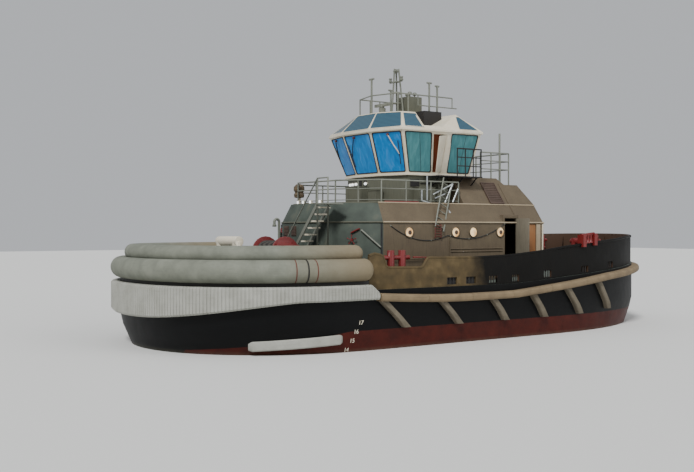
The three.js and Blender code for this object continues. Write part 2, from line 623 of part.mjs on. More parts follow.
// A window hole in the flat panel between two corners of the wheelhouse's plan
function windowHole(cornerA, cornerB, startShare, endShare, low, high) {
  const at = (corner, share, z) => {
    const outline = outlineOf(wallPlan(z));
    const [ax, ay] = outline[corner];
    const [bx, by] = outline[cornerB];
    return [ax + (bx - ax) * share, ay + (by - ay) * share, z];
  };
  const corners = [at(cornerA, startShare, low), at(cornerA, endShare, low),
    at(cornerA, endShare, high), at(cornerA, startShare, high)];
  const [a, b, , d] = corners.map((corner) => new THREE.Vector3(...corner));
  const normal = b.clone().sub(a).cross(d.clone().sub(a)).normalize().multiplyScalar(200);
  const shifted = (sign) => corners.map(([x, y, z]) =>
    [x + sign * normal.x, y + sign * normal.y, z + sign * normal.z]);
  return loft([shifted(-1), shifted(1)], quadCap, quadCap);
}
// corner pair, start and end share along the panel, sill and head of each window
const WINDOWS = [
  [0, 1, 0.05, 0.95, SILL, WINDOW_HEAD],
  [5, 0, 0.04, 0.96, SILL, WINDOW_HEAD],
  [4, 5, 0.05, 0.95, SILL, WINDOW_HEAD],
  [1, 2, 0.03, 0.365, SILL, WINDOW_HEAD],
  [1, 2, 0.62, 0.97, SILL, WINDOW_HEAD],
  [3, 4, 0.03, 0.38, SILL, WINDOW_HEAD],
  [3, 4, 0.635, 0.97, SILL, WINDOW_HEAD],
  [2, 3, 0.06, 0.47, SILL + 250, WINDOW_HEAD],
  [2, 3, 0.53, 0.94, SILL + 250, WINDOW_HEAD],
];
const windowHoles = joined(WINDOWS.map((row) => windowHole(...row)));
function doorCut(side, grow, growUp = grow) {
  const [low, high] = [WH_DOOR.sill - grow, WH_DOOR.top + growUp];
  const profile = [[WH_DOOR.from - grow, low], [WH_DOOR.toLow + grow, low], [WH_DOOR.toHigh + grow, high],
    [WH_DOOR.from - grow, high]];
  return sidePlate(profile, side > 0 ? 1500 : -3200, side > 0 ? 3200 : -1500);
}
const wallSolid = solid(wheelhouseShell(wallPlan(WALL_FOOT), WALL_FOOT, WHEELHOUSE_HEAD, WALL_HEAD, 0))
  .subtract(solid(wheelhouseShell(wallPlan(WALL_FOOT - 10), WALL_FOOT - 10, wallPlan(WALL_HEAD + 10),
    WALL_HEAD + 10, FRAME_WALL)));
add('wheelhouse_walls', wallSolid.subtract(windowHoles).subtract(joined([doorCut(1, 0), doorCut(-1, 0)])),
  FINISH.white);

// The panes are one lining behind the window holes, cut at the doors
const GLASS_LOW = SILL - 35;
const GLASS_HIGH = WINDOW_HEAD + 40;
const OVER_DOOR = 25;
const lining = (inset) => solid(wheelhouseShell(wallPlan(WALL_FOOT - 10), WALL_FOOT - 10,
  wallPlan(WALL_HEAD + 10), WALL_HEAD + 10, inset));
const paneRing = lining(FRAME_WALL + SKIN_GAP)
  .subtract(lining(FRAME_WALL + SKIN_GAP + GLASS))
  .intersect(solid(block(-4000, 4000, -4000, 4000, GLASS_LOW, GLASS_HIGH)));
add('window_glass', paneRing.subtract(joined([doorCut(1, 60, OVER_DOOR), doorCut(-1, 60, OVER_DOOR)])),
  FINISH.blueFilm);

// Roof: an eave band, then slopes with skylights up to the flat crown
const ROOF_FOOT = WHEELHOUSE_EAVE + SEAT_GAP;
const BAND_TOP = 8190;
const roofRings = (inset, foot, crown) => [
  ringOf(outlineOf(WHEELHOUSE_HEAD, inset - 60), foot),
  ringOf(outlineOf(WHEELHOUSE_HEAD, inset - 60), BAND_TOP - inset * 0.3),
  ringOf(outlineOf(WHEELHOUSE_CROWN, inset * 0.6), crown),
];
const sixCap = flatCap(outlineOf(WHEELHOUSE_HEAD));
const ROOF_PLATE = 70;
const roofOuter = solid(loft(roofRings(0, ROOF_FOOT, ROOF_TOP), sixCap, sixCap));
const roofInner = solid(loft(roofRings(ROOF_PLATE + 60, ROOF_FOOT - 20, ROOF_TOP - ROOF_PLATE), sixCap, sixCap));
function skylightHole(cornerA, cornerB, startShare, endShare, low, high, topStart, topEnd) {
  const at = (share, rise) => {
    const plan = mix(outlineOf(WHEELHOUSE_HEAD, -60).flat(), outlineOf(WHEELHOUSE_CROWN).flat(), rise);
    const [ax, ay, bx, by] = [plan[cornerA * 2], plan[cornerA * 2 + 1], plan[cornerB * 2], plan[cornerB * 2 + 1]];
    return [ax + (bx - ax) * share, ay + (by - ay) * share, BAND_TOP + (ROOF_TOP - BAND_TOP) * rise];
  };
  const corners = [at(startShare, low), at(endShare, low), at(topEnd, high), at(topStart, high)];
  const [a, b, , d] = corners.map((corner) => new THREE.Vector3(...corner));
  const normal = b.clone().sub(a).cross(d.clone().sub(a)).normalize().multiplyScalar(260);
  const shifted = (sign) => corners.map(([x, y, z]) =>
    [x + sign * normal.x, y + sign * normal.y, z + sign * normal.z]);
  return loft([shifted(-1), shifted(1)], quadCap, quadCap);
}
// corner pair, start and end share along the foot, low and high share up the slope,
// start and end share along the top
const SKYLIGHTS = [
  [0, 1, 0.07, 0.93, 0.1, 0.88, 0.07, 0.93],
  [5, 0, 0.06, 0.94, 0.1, 0.88, 0.06, 0.94],
  [4, 5, 0.07, 0.93, 0.1, 0.88, 0.07, 0.93],
  [1, 2, 0.05, 0.25, 0.1, 0.84, 0.05, 0.22],
  [3, 4, 0.75, 0.95, 0.1, 0.84, 0.78, 0.95],
  [1, 2, 0.74, 0.94, 0.12, 0.78, 0.92, 0.95],
  [3, 4, 0.06, 0.26, 0.12, 0.78, 0.05, 0.08],
];
// On each side the roof drops to a low part over the door, between the skylights
const ROOF_NOTCH = [[1040, 8330], [740, 9100], [-1700, 9100], [-1150, 8950], [60, 8330]];
const NOTCH_DEPTH_Y = 800;
const roofNotch = joined([sidePlate(ROOF_NOTCH, NOTCH_DEPTH_Y, 4000),
  sidePlate(ROOF_NOTCH, -4000, -NOTCH_DEPTH_Y)]);
// The underside of the notch, grown from its top by the plate
const NOTCH_GROWTH = [90, 90, 0, -90, -90];
const notchUnder = (extra) => ROOF_NOTCH.map(([x, z], i) =>
  [x + NOTCH_GROWTH[i] + Math.sign(NOTCH_GROWTH[i]) * extra, z - ROOF_PLATE - 20 - extra]);
const notchRoom = (extra) => joined([
  sidePlate(notchUnder(extra), NOTCH_DEPTH_Y - ROOF_PLATE - extra, 4000),
  sidePlate(notchUnder(extra), -4000, ROOF_PLATE + extra - NOTCH_DEPTH_Y)]);
const skylightHoles = joined(SKYLIGHTS.map((row) => skylightHole(...row)));
add('wheelhouse_roof', roofOuter.subtract(roofNotch).subtract(roofInner.subtract(notchRoom(0)))
  .subtract(skylightHoles), FINISH.white);
const SKY_GLASS = 25;
const skyRings = roofRings(ROOF_PLATE + 61, ROOF_FOOT + 20, ROOF_TOP - ROOF_PLATE - 2);
const skyOuter = solid(loft(skyRings, sixCap, sixCap));
const skyInner = solid(loft(roofRings(ROOF_PLATE + 61 + SKY_GLASS, ROOF_FOOT + 10, ROOF_TOP - ROOF_PLATE - 60),
  sixCap, sixCap));
const skyBand = block(-3000, 4000, -4000, 4000, BAND_TOP - 30, ROOF_TOP - ROOF_PLATE - 90);
add('skylight_glass', skyOuter.subtract(skyInner).intersect(solid(skyBand)).subtract(notchRoom(2)),
  FINISH.skylight);

// Wheelhouse doors: each leaf leans with the wall and is hinged on its aft edge
const DOOR_LEAF = 45;
const WH_DOOR_OPEN = 30;
const sideFace = (x, z) => {
  const outline = outlineOf(wallPlan(z));
  const [ax, ay] = outline[1];
  const [bx, by] = outline[2];
  return ay + (by - ay) * (x - ax) / (bx - ax);
};
const LEAF_GAP = 8;
const LEANING_LEAF_FOOT_GAP = 32;
function wheelhouseLeaf() {
  const [from, toLow, toHigh] = [WH_DOOR.from + LEAF_GAP, WH_DOOR.toLow - LEAF_GAP, WH_DOOR.toHigh - LEAF_GAP];
  const [low, high] = [WH_DOOR.sill + LEANING_LEAF_FOOT_GAP, WH_DOOR.top - LEAF_GAP];
  const face = (x, z, depth) => [x, sideFace(x, z) - depth, z];
  const rings = [DOOR_LEAF + 12, 12].map((depth) => [face(from, low, depth), face(toLow, low, depth),
    face(toHigh, high, depth), face(from, high, depth)]);
  return solid(loft(rings, quadCap, quadCap));
}
// A leaf turned about the line from its hinge foot to its hinge head
const hingeX = WH_DOOR.from + LEAF_GAP;
const whHingeFoot = [hingeX, sideFace(hingeX, WH_DOOR.sill) - 12, WH_DOOR.sill];
const whHingeHead = [WH_DOOR.from + LEAF_GAP, sideFace(WH_DOOR.from + LEAF_GAP, WH_DOOR.top) - 12, WH_DOOR.top];
function turnedAbout(shape, foot, head, degrees) {
  const axis = new THREE.Vector3(...head).sub(new THREE.Vector3(...foot)).normalize();
  const matrix = new THREE.Matrix4().makeTranslation(...foot)
    .multiply(new THREE.Matrix4().makeRotationAxis(axis, THREE.MathUtils.degToRad(degrees)))
    .multiply(new THREE.Matrix4().makeTranslation(...foot.map((value) => -value)));
  return solidOf(shape).transform(matrix.elements);
}
const KNUCKLE = LEAF_GAP - SEAT_GAP;
const hungOn = (leaf, foot, head) => joined([leaf, bar(
  new THREE.Vector3(...foot).lerp(new THREE.Vector3(...head), 0.05).toArray(),
  new THREE.Vector3(...foot).lerp(new THREE.Vector3(...head), 0.95).toArray(), KNUCKLE, 12)]);
const whLeaf = hungOn(wheelhouseLeaf(), whHingeFoot, whHingeHead);
add('wheelhouse_door_port', turnedAbout(whLeaf, whHingeFoot, whHingeHead, WH_DOOR_OPEN), FINISH.white);
add('wheelhouse_door_starboard', mirrored(whLeaf), FINISH.white);

// Deckhouse doors
const LEAF_FACE = HOUSE_HALF_WIDTH - 15;
function houseLeaf({ from, to, sill, top }) {
  return solid(block(from + LEAF_GAP, to - LEAF_GAP, HOUSE_HALF_WIDTH - 70, LEAF_FACE,
    sill + LEAF_GAP, top - LEAF_GAP));
}
const hingeOf = ({ from, sill, top }, y) => [[from + LEAF_GAP, y, sill], [from + LEAF_GAP, y, top]];
const SIDE_DOOR_OPEN = 95;
const [sideFoot, sideHead] = hingeOf(SIDE_DOOR, LEAF_FACE);
const sideLeaf = hungOn(houseLeaf(SIDE_DOOR), sideFoot, sideHead);
add('deckhouse_door_port', turnedAbout(sideLeaf, sideFoot, sideHead, SIDE_DOOR_OPEN), FINISH.houseTan);
add('deckhouse_door_starboard', mirrored(sideLeaf), FINISH.houseTan);
add('deckhouse_aft_door_port', hungOn(houseLeaf(AFT_DOOR), ...hingeOf(AFT_DOOR, LEAF_FACE)), FINISH.doorBrown);

// Stern drives: a leg and a gear pod that carry a nozzle, and a four-bladed propeller in it
const POD_RADIUS = 330;
const NOZZLE_X = -640;
const LEG_TOP = DRIVE_PAD_BOTTOM - RUNNING_GAP;
const nozzle = turned([
  [NOZZLE_BORE, -NOZZLE_LENGTH / 2], [NOZZLE_BORE + 60, -NOZZLE_LENGTH / 2],
  [NOZZLE_RADIUS - 10, NOZZLE_LENGTH / 2 - 320], [NOZZLE_RADIUS, NOZZLE_LENGTH / 2 - 120],
  [NOZZLE_RADIUS - 90, NOZZLE_LENGTH / 2], [NOZZLE_BORE + 50, NOZZLE_LENGTH / 2 - 30],
  [NOZZLE_BORE, NOZZLE_LENGTH / 2 - 260], [NOZZLE_BORE, -NOZZLE_LENGTH / 2],
], 28).rotateY(Math.PI / 2).translate(NOZZLE_X, 0, DRIVE_AXIS);
const POD_FRONT = 640;
const POD_BACK = -430;
const pod = turned([
  [0, POD_BACK], [POD_RADIUS - 20, POD_BACK], [POD_RADIUS, POD_BACK + 250], [POD_RADIUS, POD_FRONT - 450],
  [POD_RADIUS * 0.7, POD_FRONT - 140], [0, POD_FRONT],
], 16).rotateY(Math.PI / 2).translate(0, 0, DRIVE_AXIS);
const leg = turned([[0, DRIVE_AXIS], [300, DRIVE_AXIS], [360, LEG_TOP - 330], [620, LEG_TOP - 160],
  [700, LEG_TOP], [260, LEG_TOP], [260, LEG_TOP + RUNNING_GAP - SEAT_GAP], [0, LEG_TOP + RUNNING_GAP - SEAT_GAP]], 20);
const braces = [70, 180, 290].map((degrees) => {
  const turn = THREE.MathUtils.degToRad(degrees);
  const [y, z] = [Math.cos(turn), Math.sin(turn)];
  return bar([-160, y * (POD_RADIUS - 60), DRIVE_AXIS + z * (POD_RADIUS - 60)],
    [-320, y * (NOZZLE_BORE + 50), DRIVE_AXIS + z * (NOZZLE_BORE + 50)], 60, 8);
});
const drive = joined([nozzle, pod, leg, ...braces]);
for (const [side, y] of [['port', DRIVE_Y], ['starboard', -DRIVE_Y]]) {
  add(`stern_drive_${side}`, drive.translate(DRIVE_X, y, 0), FINISH.bottomRed);
}
const BLADES = 4;
const PROPELLER_X = -700;
const HUB_FRONT = POD_BACK - PROPELLER_X - 5;
const hub = turned([[0, -260], [120, -240], [210, -120], [230, 0], [230, HUB_FRONT], [100, HUB_FRONT],
  [100, HUB_FRONT + 5 - SEAT_GAP], [0, HUB_FRONT + 5 - SEAT_GAP]], 16)
  .rotateY(Math.PI / 2).translate(PROPELLER_X, 0, 0);
// radius, chord, pitch angle in degrees and thickness of each blade section
const BLADE_SECTIONS = [
  [180, 300, 62, 60],
  [520, 520, 42, 40],
  [820, 600, 31, 26],
  [PROPELLER_RADIUS, 420, 26, 14],
];
const bladeRings = BLADE_SECTIONS.map(([radius, chord, pitch, thickness]) => {
  const turn = THREE.MathUtils.degToRad(pitch);
  const section = [[-chord / 2, 0], [0, -thickness / 2], [chord / 2, 0], [0, thickness / 2]];
  return section.map(([a, b]) => [
    PROPELLER_X + a * Math.sin(turn) + b * Math.cos(turn),
    a * Math.cos(turn) - b * Math.sin(turn),
    radius,
  ]);
});
const blade = solid(loft(bladeRings, quadCap, quadCap));
const blades = Array.from({ length: BLADES }, (_, i) => blade.rotate([i * 360 / BLADES, 0, 0]));
const propeller = joined([hub, ...blades]);
for (const [side, y] of [['port', DRIVE_Y], ['starboard', -DRIVE_Y]]) {
  add(`propeller_${side}`, propeller.translate(DRIVE_X, y, DRIVE_AXIS), FINISH.bronze);
}

// Bow winch: a frame with two cheeks and its drum
const WINCH_X = 6400;
const WINCH_AXIS = 3300;
const WINCH_HALF = 850;
const CHEEK = 80;
const DRUM_SHAFT = 90;
const cheekOutline = [[-700, DECK + SEAT_GAP], [700, DECK + SEAT_GAP], [420, WINCH_AXIS + 350],
  [-420, WINCH_AXIS + 350]].map(([x, z]) => [x + WINCH_X, z]);
const cheeks = [-WINCH_HALF, WINCH_HALF - CHEEK].map((y) => sidePlate(cheekOutline, y, y + CHEEK));
const winchBase = block(WINCH_X - 700, WINCH_X + 700, -WINCH_HALF, WINCH_HALF, DECK + SEAT_GAP, DECK + 90);
const SHAFT_SIDES = 16;
const shaftHole = (DRUM_SHAFT + SKIN_GAP) / Math.cos(Math.PI / SHAFT_SIDES);
const winchMotor = block(WINCH_X - 300, WINCH_X + 300, WINCH_HALF - 10, WINCH_HALF + 420,
  WINCH_AXIS - 300, WINCH_AXIS + 300);
const motorFoot = block(WINCH_X - 220, WINCH_X + 220, WINCH_HALF + 60, WINCH_HALF + 360,
  DECK + SEAT_GAP, WINCH_AXIS);
const shaftRoom = bar([WINCH_X, -2000, WINCH_AXIS], [WINCH_X, WINCH_HALF + 200, WINCH_AXIS], shaftHole,
  SHAFT_SIDES);
add('winch_frame', joined([...cheeks, winchBase, winchMotor, motorFoot]).subtract(joined([shaftRoom])),
  FINISH.fittingRed);
const DRUM_HALF = WINCH_HALF - CHEEK - 12;
const drum = turned([
  [0, -WINCH_HALF - 40], [DRUM_SHAFT, -WINCH_HALF - 40], [DRUM_SHAFT, -DRUM_HALF], [620, -DRUM_HALF],
  [620, -DRUM_HALF + 50], [360, -DRUM_HALF + 60], [360, DRUM_HALF - 60], [620, DRUM_HALF - 50],
  [620, DRUM_HALF], [DRUM_SHAFT, DRUM_HALF], [DRUM_SHAFT, WINCH_HALF + 190], [0, WINCH_HALF + 190],
], 20).rotateX(-Math.PI / 2).translate(WINCH_X, 0, WINCH_AXIS);
add('winch_drum', drum, FINISH.fittingRed);

// Bow staple that leads the line over the fenders
const STAPLE_X = 8400;
const STAPLE_HALF = 620;
const STAPLE_TOP = 3740;
const staple = joined([
  bar([STAPLE_X, -STAPLE_HALF, DECK + SEAT_GAP], [STAPLE_X, -STAPLE_HALF, STAPLE_TOP], 190, 14),
  bar([STAPLE_X, STAPLE_HALF, DECK + SEAT_GAP], [STAPLE_X, STAPLE_HALF, STAPLE_TOP], 190, 14),
  bar([STAPLE_X, -STAPLE_HALF - 150, STAPLE_TOP], [STAPLE_X, STAPLE_HALF + 150, STAPLE_TOP], 190, 14),
]);
add('bow_staple', staple, FINISH.white);

// Double bitts behind the low part of each bulwark
const BITT_X = [4540, 4030];
const BITT_Y = 4880;
const BITT_TOP = 3440;
const bitts = joined([
  ...BITT_X.map((x) => bar([x, BITT_Y, DECK + SEAT_GAP], [x, BITT_Y, BITT_TOP], 135, 16)),
  bar([BITT_X[0] + 330, BITT_Y, 3180], [BITT_X[1] - 330, BITT_Y, 3180], 80, 12),
  block(BITT_X[1] - 260, BITT_X[0] + 260, BITT_Y - 230, BITT_Y + 230, DECK + SEAT_GAP, DECK + 40),
]);
add('double_bitts_port', bitts, FINISH.fittingRed);
add('double_bitts_starboard', mirrored(bitts), FINISH.fittingRed);

// Stern fittings
const STERN_STAPLE_X = -11150;
const sternStaple = joined([-1, 1].map((side) =>
  bar([STERN_STAPLE_X, side * 480, 2000], [STERN_STAPLE_X, side * 480, 3760], 150, 14)).concat([
  bar([STERN_STAPLE_X, -660, 3600], [STERN_STAPLE_X, 660, 3600], 130, 14)]));
add('stern_staple', onDeck(sternStaple), FINISH.fittingRed);
const STERN_BITT_X = [-9450, -10150];
for (const [side, y] of [['port', 1700], ['starboard', -1700]]) {
  const pair = joined(STERN_BITT_X.map((x) => bar([x, y, 2000], [x, y, 3900], 150, 14)).concat([
    bar([STERN_BITT_X[0] + 300, y, 3650], [STERN_BITT_X[1] - 300, y, 3650], 85, 12)]));
  add(`stern_bitts_${side}`, onDeck(pair), FINISH.fittingRed);
}
const CAPSTAN = { x: -7000, y: 1100 };
const capstanDeck = deckHeight(CAPSTAN.x - 300) + 340;
add('stern_capstan_base', onDeck(solid(turned([[0, 1900], [330, 1900], [330, capstanDeck], [0, capstanDeck]], 18)
  .translate(CAPSTAN.x, CAPSTAN.y, 0))), FINISH.steelGrey);
const capstanFoot = capstanDeck + RUNNING_GAP;
add('stern_capstan', turned([[0, capstanDeck + SEAT_GAP], [90, capstanDeck + SEAT_GAP], [90, capstanFoot],
  [300, capstanFoot], [300, capstanFoot + 50], [200, capstanFoot + 160],
  [200, capstanFoot + 420], [290, capstanFoot + 520], [290, capstanFoot + 560], [0, capstanFoot + 600]], 18)
  .translate(CAPSTAN.x, CAPSTAN.y, 0), FINISH.fittingRed);

// Mast and what stands on the wheelhouse roof
const MAST_X = 470;
const MAST_TOP = 10950;
const ROOF_SEAT = ROOF_TOP + SEAT_GAP;
const mastLegs = [[-160, -160], [-160, 160], [160, 0]];
const mast = joined([
  ...mastLegs.map(([x, y]) =>
    bar([MAST_X + x * 1.4, y * 1.4, ROOF_SEAT + 15], [MAST_X + x * 0.5, y * 0.5, MAST_TOP], 36, 8)),
  ...[9500, 9950, 10400, 10850].map((z) => turned([[0, z - 20], [210 - (z - 9500) * 0.06, z - 20],
    [210 - (z - 9500) * 0.06, z + 20], [0, z + 20]], 12).translate(MAST_X, 0, 0)),
  block(MAST_X - 300, MAST_X + 300, -300, 300, ROOF_SEAT, ROOF_SEAT + 30),
  bar([MAST_X, -420, 10400], [MAST_X, 420, 10400], 30, 8),
]);
add('mast', mast, FINISH.steelGrey);

// Radar on a pedestal on the roof, ahead of the mast
const RADAR_X = 1200;
const RADAR_Z = 9250;
const RADAR_HALF = 470;
add('radar_base', turned([[0, ROOF_SEAT], [190, ROOF_SEAT], [190, ROOF_SEAT + 40], [130, ROOF_SEAT + 60],
  [150, RADAR_Z - 20], [130, RADAR_Z], [0, RADAR_Z]], 16).translate(RADAR_X, 0, 0), FINISH.white);
add('radar_scanner', joined([
  block(RADAR_X - 55, RADAR_X + 55, -RADAR_HALF, RADAR_HALF, RADAR_Z + 60, RADAR_Z + 180),
  turned([[0, RADAR_Z + SEAT_GAP], [45, RADAR_Z + SEAT_GAP], [45, RADAR_Z + 10], [90, RADAR_Z + 10],
    [90, RADAR_Z + 100], [0, RADAR_Z + 100]], 14).translate(RADAR_X, 0, 0),
]), FINISH.white);

// A dark box stands in each notch of the roof, over the door
const roofBox = solid(block(-780, 160, NOTCH_DEPTH_Y + 150, 1480, 8200, 9070))
  .subtract(roofOuter.subtract(roofNotch).translate(0, 0, SEAT_GAP));
add('roof_box_port', roofBox, FINISH.darkSteel);
add('roof_box_starboard', mirrored(roofBox), FINISH.darkSteel);

// Rail round the roof. Its posts stand on the roof and on the boxes, and three of them carry T heads.
const ROOF_RAIL_Z = 9720;
const ROOF_RAIL_LOW_Z = 9300;
const BOX_SEAT = 9070 + SEAT_GAP;
const roofRailPort = [[1750, 0], [1400, 1300], [-1520, 1300]];
const railLine = (points, z, radius) => points.slice(1).map(([x, y], i) =>
  bar([...points[i], z], [x, y, z], radius, 8));
const roofRailSide = joined([
  ...railLine(roofRailPort, ROOF_RAIL_Z, 28),
  ...railLine([[340, 1300], [-1770, 1300]], ROOF_RAIL_LOW_Z, 24),
  bar([1400, 1300, ROOF_SEAT], [1400, 1300, ROOF_RAIL_Z], 28, 8),
  bar([860, 1300, ROOF_SEAT], [860, 1300, ROOF_RAIL_Z], 28, 8),
  bar([340, 1300, ROOF_RAIL_LOW_Z], [340, 1300, ROOF_RAIL_Z], 28, 8),
  bar([-1520, 1300, ROOF_RAIL_LOW_Z], [-1520, 1300, ROOF_RAIL_Z], 24, 8),
  bar([-260, 1300, BOX_SEAT], [-260, 1300, 10280], 42, 10),
  bar([-690, 1300, BOX_SEAT], [-690, 1300, 10180], 42, 10),
  bar([-380, 1300, 10260], [-140, 1300, 10260], 40, 8),
  bar([-790, 1300, 10160], [-590, 1300, 10160], 40, 8),
]);
const roofRail = joined([
  roofRailSide,
  mirrored(roofRailSide),
  bar([1750, 0, ROOF_SEAT], [1750, 0, 10420], 45, 10),
  bar([1750, -150, 10400], [1750, 150, 10400], 42, 8),
]);
add('roof_rail', roofRail, FINISH.steelGrey);
add('roof_locker', slab([[60, 340], [60, -340], [-660, -340], [-660, 340]], ROOF_SEAT, 9800), FINISH.steelGrey);

// Rail round the upper deck ahead of the wheelhouse trunk
const UPPER_RAIL_TOP = 6080;
const UPPER_RAIL_LOW = UPPER_RAIL_TOP - 330;
const upperRailPort = [[4500, 0], [4500, 1350], [3450, 2900], [-450, 2900]];
const upperRailSide = joined([
  ...railLine(upperRailPort, UPPER_RAIL_TOP, 30),
  ...railLine(upperRailPort, UPPER_RAIL_LOW, 22),
  ...[...upperRailPort, [3975, 2125], [2250, 2900], [1000, 2900]].map(([x, y]) =>
    bar([x, y, UPPER_DECK + SEAT_GAP], [x, y, UPPER_RAIL_TOP], 30, 8)),
]);
add('upper_deck_rail', joined([upperRailSide, mirrored(upperRailSide)]), FINISH.steelGrey);

// Rail round the top of the casing behind the wheelhouse
const casingRailPort = [[-2450, 2050], [-4100, 2050], [-4100, 0]];
const casingRoof = (x) => (x < -3450 ? CASING_AFT_TOP : CASING_TOP) + SEAT_GAP;
const CASING_RAIL_TOP = 7450;
const casingRailSide = joined([
  ...[7450, 7100, 6750].flatMap((z) => railLine(casingRailPort, z, z === CASING_RAIL_TOP ? 30 : 22)),
  ...[...casingRailPort, [-3060, 2050], [-3600, 2050]].map(([x, y]) =>
    bar([x, y, casingRoof(x)], [x, y, CASING_RAIL_TOP], 30, 8)),
]);
add('casing_rail', joined([casingRailSide, mirrored(casingRailSide)]), FINISH.steelGrey);
add('casing_pole', joined([
  bar([-4000, 1600, CASING_AFT_TOP + SEAT_GAP], [-4000, 1600, 8350], 45, 12),
  turned([[0, CASING_AFT_TOP + SEAT_GAP], [140, CASING_AFT_TOP + SEAT_GAP], [140, CASING_AFT_TOP + 30],
    [0, CASING_AFT_TOP + 30]], 12).translate(-4000, 1600, 0),
]), FINISH.steelGrey);

// Stair up the front of the deckhouse to a landing at the upper deck
const STAIR = { inner: 5060, outer: 5660, topY: 1750, topZ: 5180, footY: -1150, footZ: DECK + SEAT_GAP,
  steps: 12 };
const stairSlope = (STAIR.topZ - STAIR.footZ) / (STAIR.topY - STAIR.footY);
function stringer(x) {
  const depth = 200;
  const points = [[STAIR.footY, STAIR.footZ], [STAIR.topY, STAIR.topZ], [STAIR.topY, STAIR.topZ - depth],
    [STAIR.footY + depth / stairSlope, STAIR.footZ]];
  return sidePlate(points, 0, 40).rotateZ(Math.PI / 2).translate(x + 40, 0, 0);
}
const treads = Array.from({ length: STAIR.steps }, (_, i) => {
  const share = (i + 0.7) / STAIR.steps;
  const y = STAIR.footY + (STAIR.topY - STAIR.footY) * share;
  const z = STAIR.footZ + (STAIR.topZ - STAIR.footZ) * share;
  return block(STAIR.inner + 20, STAIR.outer - 20, y - 30, y + 210, z - 110, z - 75);
});
const LANDING_SEAT = HOUSE_FRONT + SKIN_GAP;
const stairHead = block(LANDING_SEAT, STAIR.outer, STAIR.topY - 20, STAIR.topY + 780,
  STAIR.topZ - 60, STAIR.topZ);
const landingLegs = [STAIR.topY + 40, STAIR.topY + 740].map((y) =>
  bar([STAIR.outer - 40, y, DECK + SEAT_GAP], [STAIR.outer - 40, y, STAIR.topZ + 950], 32, 8));
const stairRail = bar([STAIR.outer - 40, STAIR.topY + 40, STAIR.topZ + 930],
  [STAIR.outer - 40, STAIR.footY, STAIR.footZ + 930], 26, 8);
const newelFoot = [STAIR.outer - 40, STAIR.footY + 20, STAIR.footZ];
const newel = bar(newelFoot, [newelFoot[0], newelFoot[1], STAIR.footZ + 960], 30, 8);
const landingRail = bar([STAIR.outer - 40, STAIR.topY + 40, STAIR.topZ + 930],
  [STAIR.outer - 40, STAIR.topY + 740, STAIR.topZ + 930], 26, 8);
add('front_stair', joined([stringer(STAIR.inner), stringer(STAIR.outer - 40), ...treads, stairHead, ...landingLegs,
  stairRail, newel, landingRail]), FINISH.steelGrey);

// Aluminium ladder from the side deck to the upper deck, leaning on the side of the deckhouse
const LADDER = { foot: [1450, 3692, 4300], head: [320, 2884, 6250] };
const ladderPoint = (share, along) => LADDER.foot.map((value, i) =>
  value + (LADDER.head[i] - value) * share + [along, 0, along * 0.5][i]);
const ladder = joined([
  bar(ladderPoint(0, 0), ladderPoint(1, 0), 30, 8),
  bar(ladderPoint(0, -420), ladderPoint(1, -420), 30, 8),
  ...[0.06, 0.2, 0.34, 0.48, 0.62, 0.76, 0.9].map((share) =>
    bar(ladderPoint(share, 10), ladderPoint(share, -430), 18, 8)),
]);
// It rests in shallow seats against the eave and the rail
const eaveSeat = solid(houseShell(-SEAT_GAP, 1900, UPPER_DECK + SEAT_GAP));
const railSeat = solid(bar([3450, 2900, UPPER_RAIL_TOP], [-450, 2900, UPPER_RAIL_TOP], 30.5, 8));
add('side_ladder_port', ladder.subtract(eaveSeat).subtract(railSeat), FINISH.aluminium);

export default tug;
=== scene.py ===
"""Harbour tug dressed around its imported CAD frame.

+X runs to the fendered bow, +Y to port and +Z up, in metres, with z = 0 on the waterline.
"""

import json
import math

import bmesh
import bpy
from mathutils import Matrix, Vector


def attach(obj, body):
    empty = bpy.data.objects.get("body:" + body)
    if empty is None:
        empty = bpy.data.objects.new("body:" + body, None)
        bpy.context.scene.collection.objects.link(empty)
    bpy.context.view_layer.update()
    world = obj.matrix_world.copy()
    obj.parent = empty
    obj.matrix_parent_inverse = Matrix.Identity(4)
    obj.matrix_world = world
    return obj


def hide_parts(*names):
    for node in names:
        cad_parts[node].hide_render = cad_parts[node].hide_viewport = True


bl_info = {
    "name": "Harbour tug",
    "version": (1, 0, 0),
    "blender": (4, 5, 0),
    "location": "3D View > Sidebar > Tug",
    "description": "Builds the looks of a harbour tug around its CAD frame",
    "category": "Object",
}

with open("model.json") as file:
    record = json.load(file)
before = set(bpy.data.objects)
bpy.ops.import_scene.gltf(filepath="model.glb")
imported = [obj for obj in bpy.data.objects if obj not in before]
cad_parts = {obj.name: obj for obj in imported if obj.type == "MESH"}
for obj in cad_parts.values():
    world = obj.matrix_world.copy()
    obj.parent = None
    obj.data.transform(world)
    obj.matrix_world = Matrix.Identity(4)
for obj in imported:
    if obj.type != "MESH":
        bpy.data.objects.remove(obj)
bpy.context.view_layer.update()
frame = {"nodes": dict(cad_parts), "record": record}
BODIES = frame["record"]["behaviour"]["bodies"]
NODE_BODY = {node: body for body, nodes in BODIES.items() for node in nodes}
SIDES = ((1, "port"), (-1, "starboard"))
UP = Vector((0, 0, 1))

# Lines of the hull and house that the pieces here are laid along, as in the CAD
DECK = 2.1
SHEER_START = -1.0
SHEER_SLOPE = 0.0625
# The bulwark's middle lies inside the rim by this much
BULWARK_MIDDLE = -0.065
HOUSE_SIDE = 3.6
HOUSE_AFT = -4.598
EAVE = 4.46
UPPER_DECK = 5.2
TUMBLEHOME = 0.72
FLOOR_TOP = 6.4403
WALL_HEAD = 8.1
BAND_TOP = 8.19
ROOF_TOP = 8.95

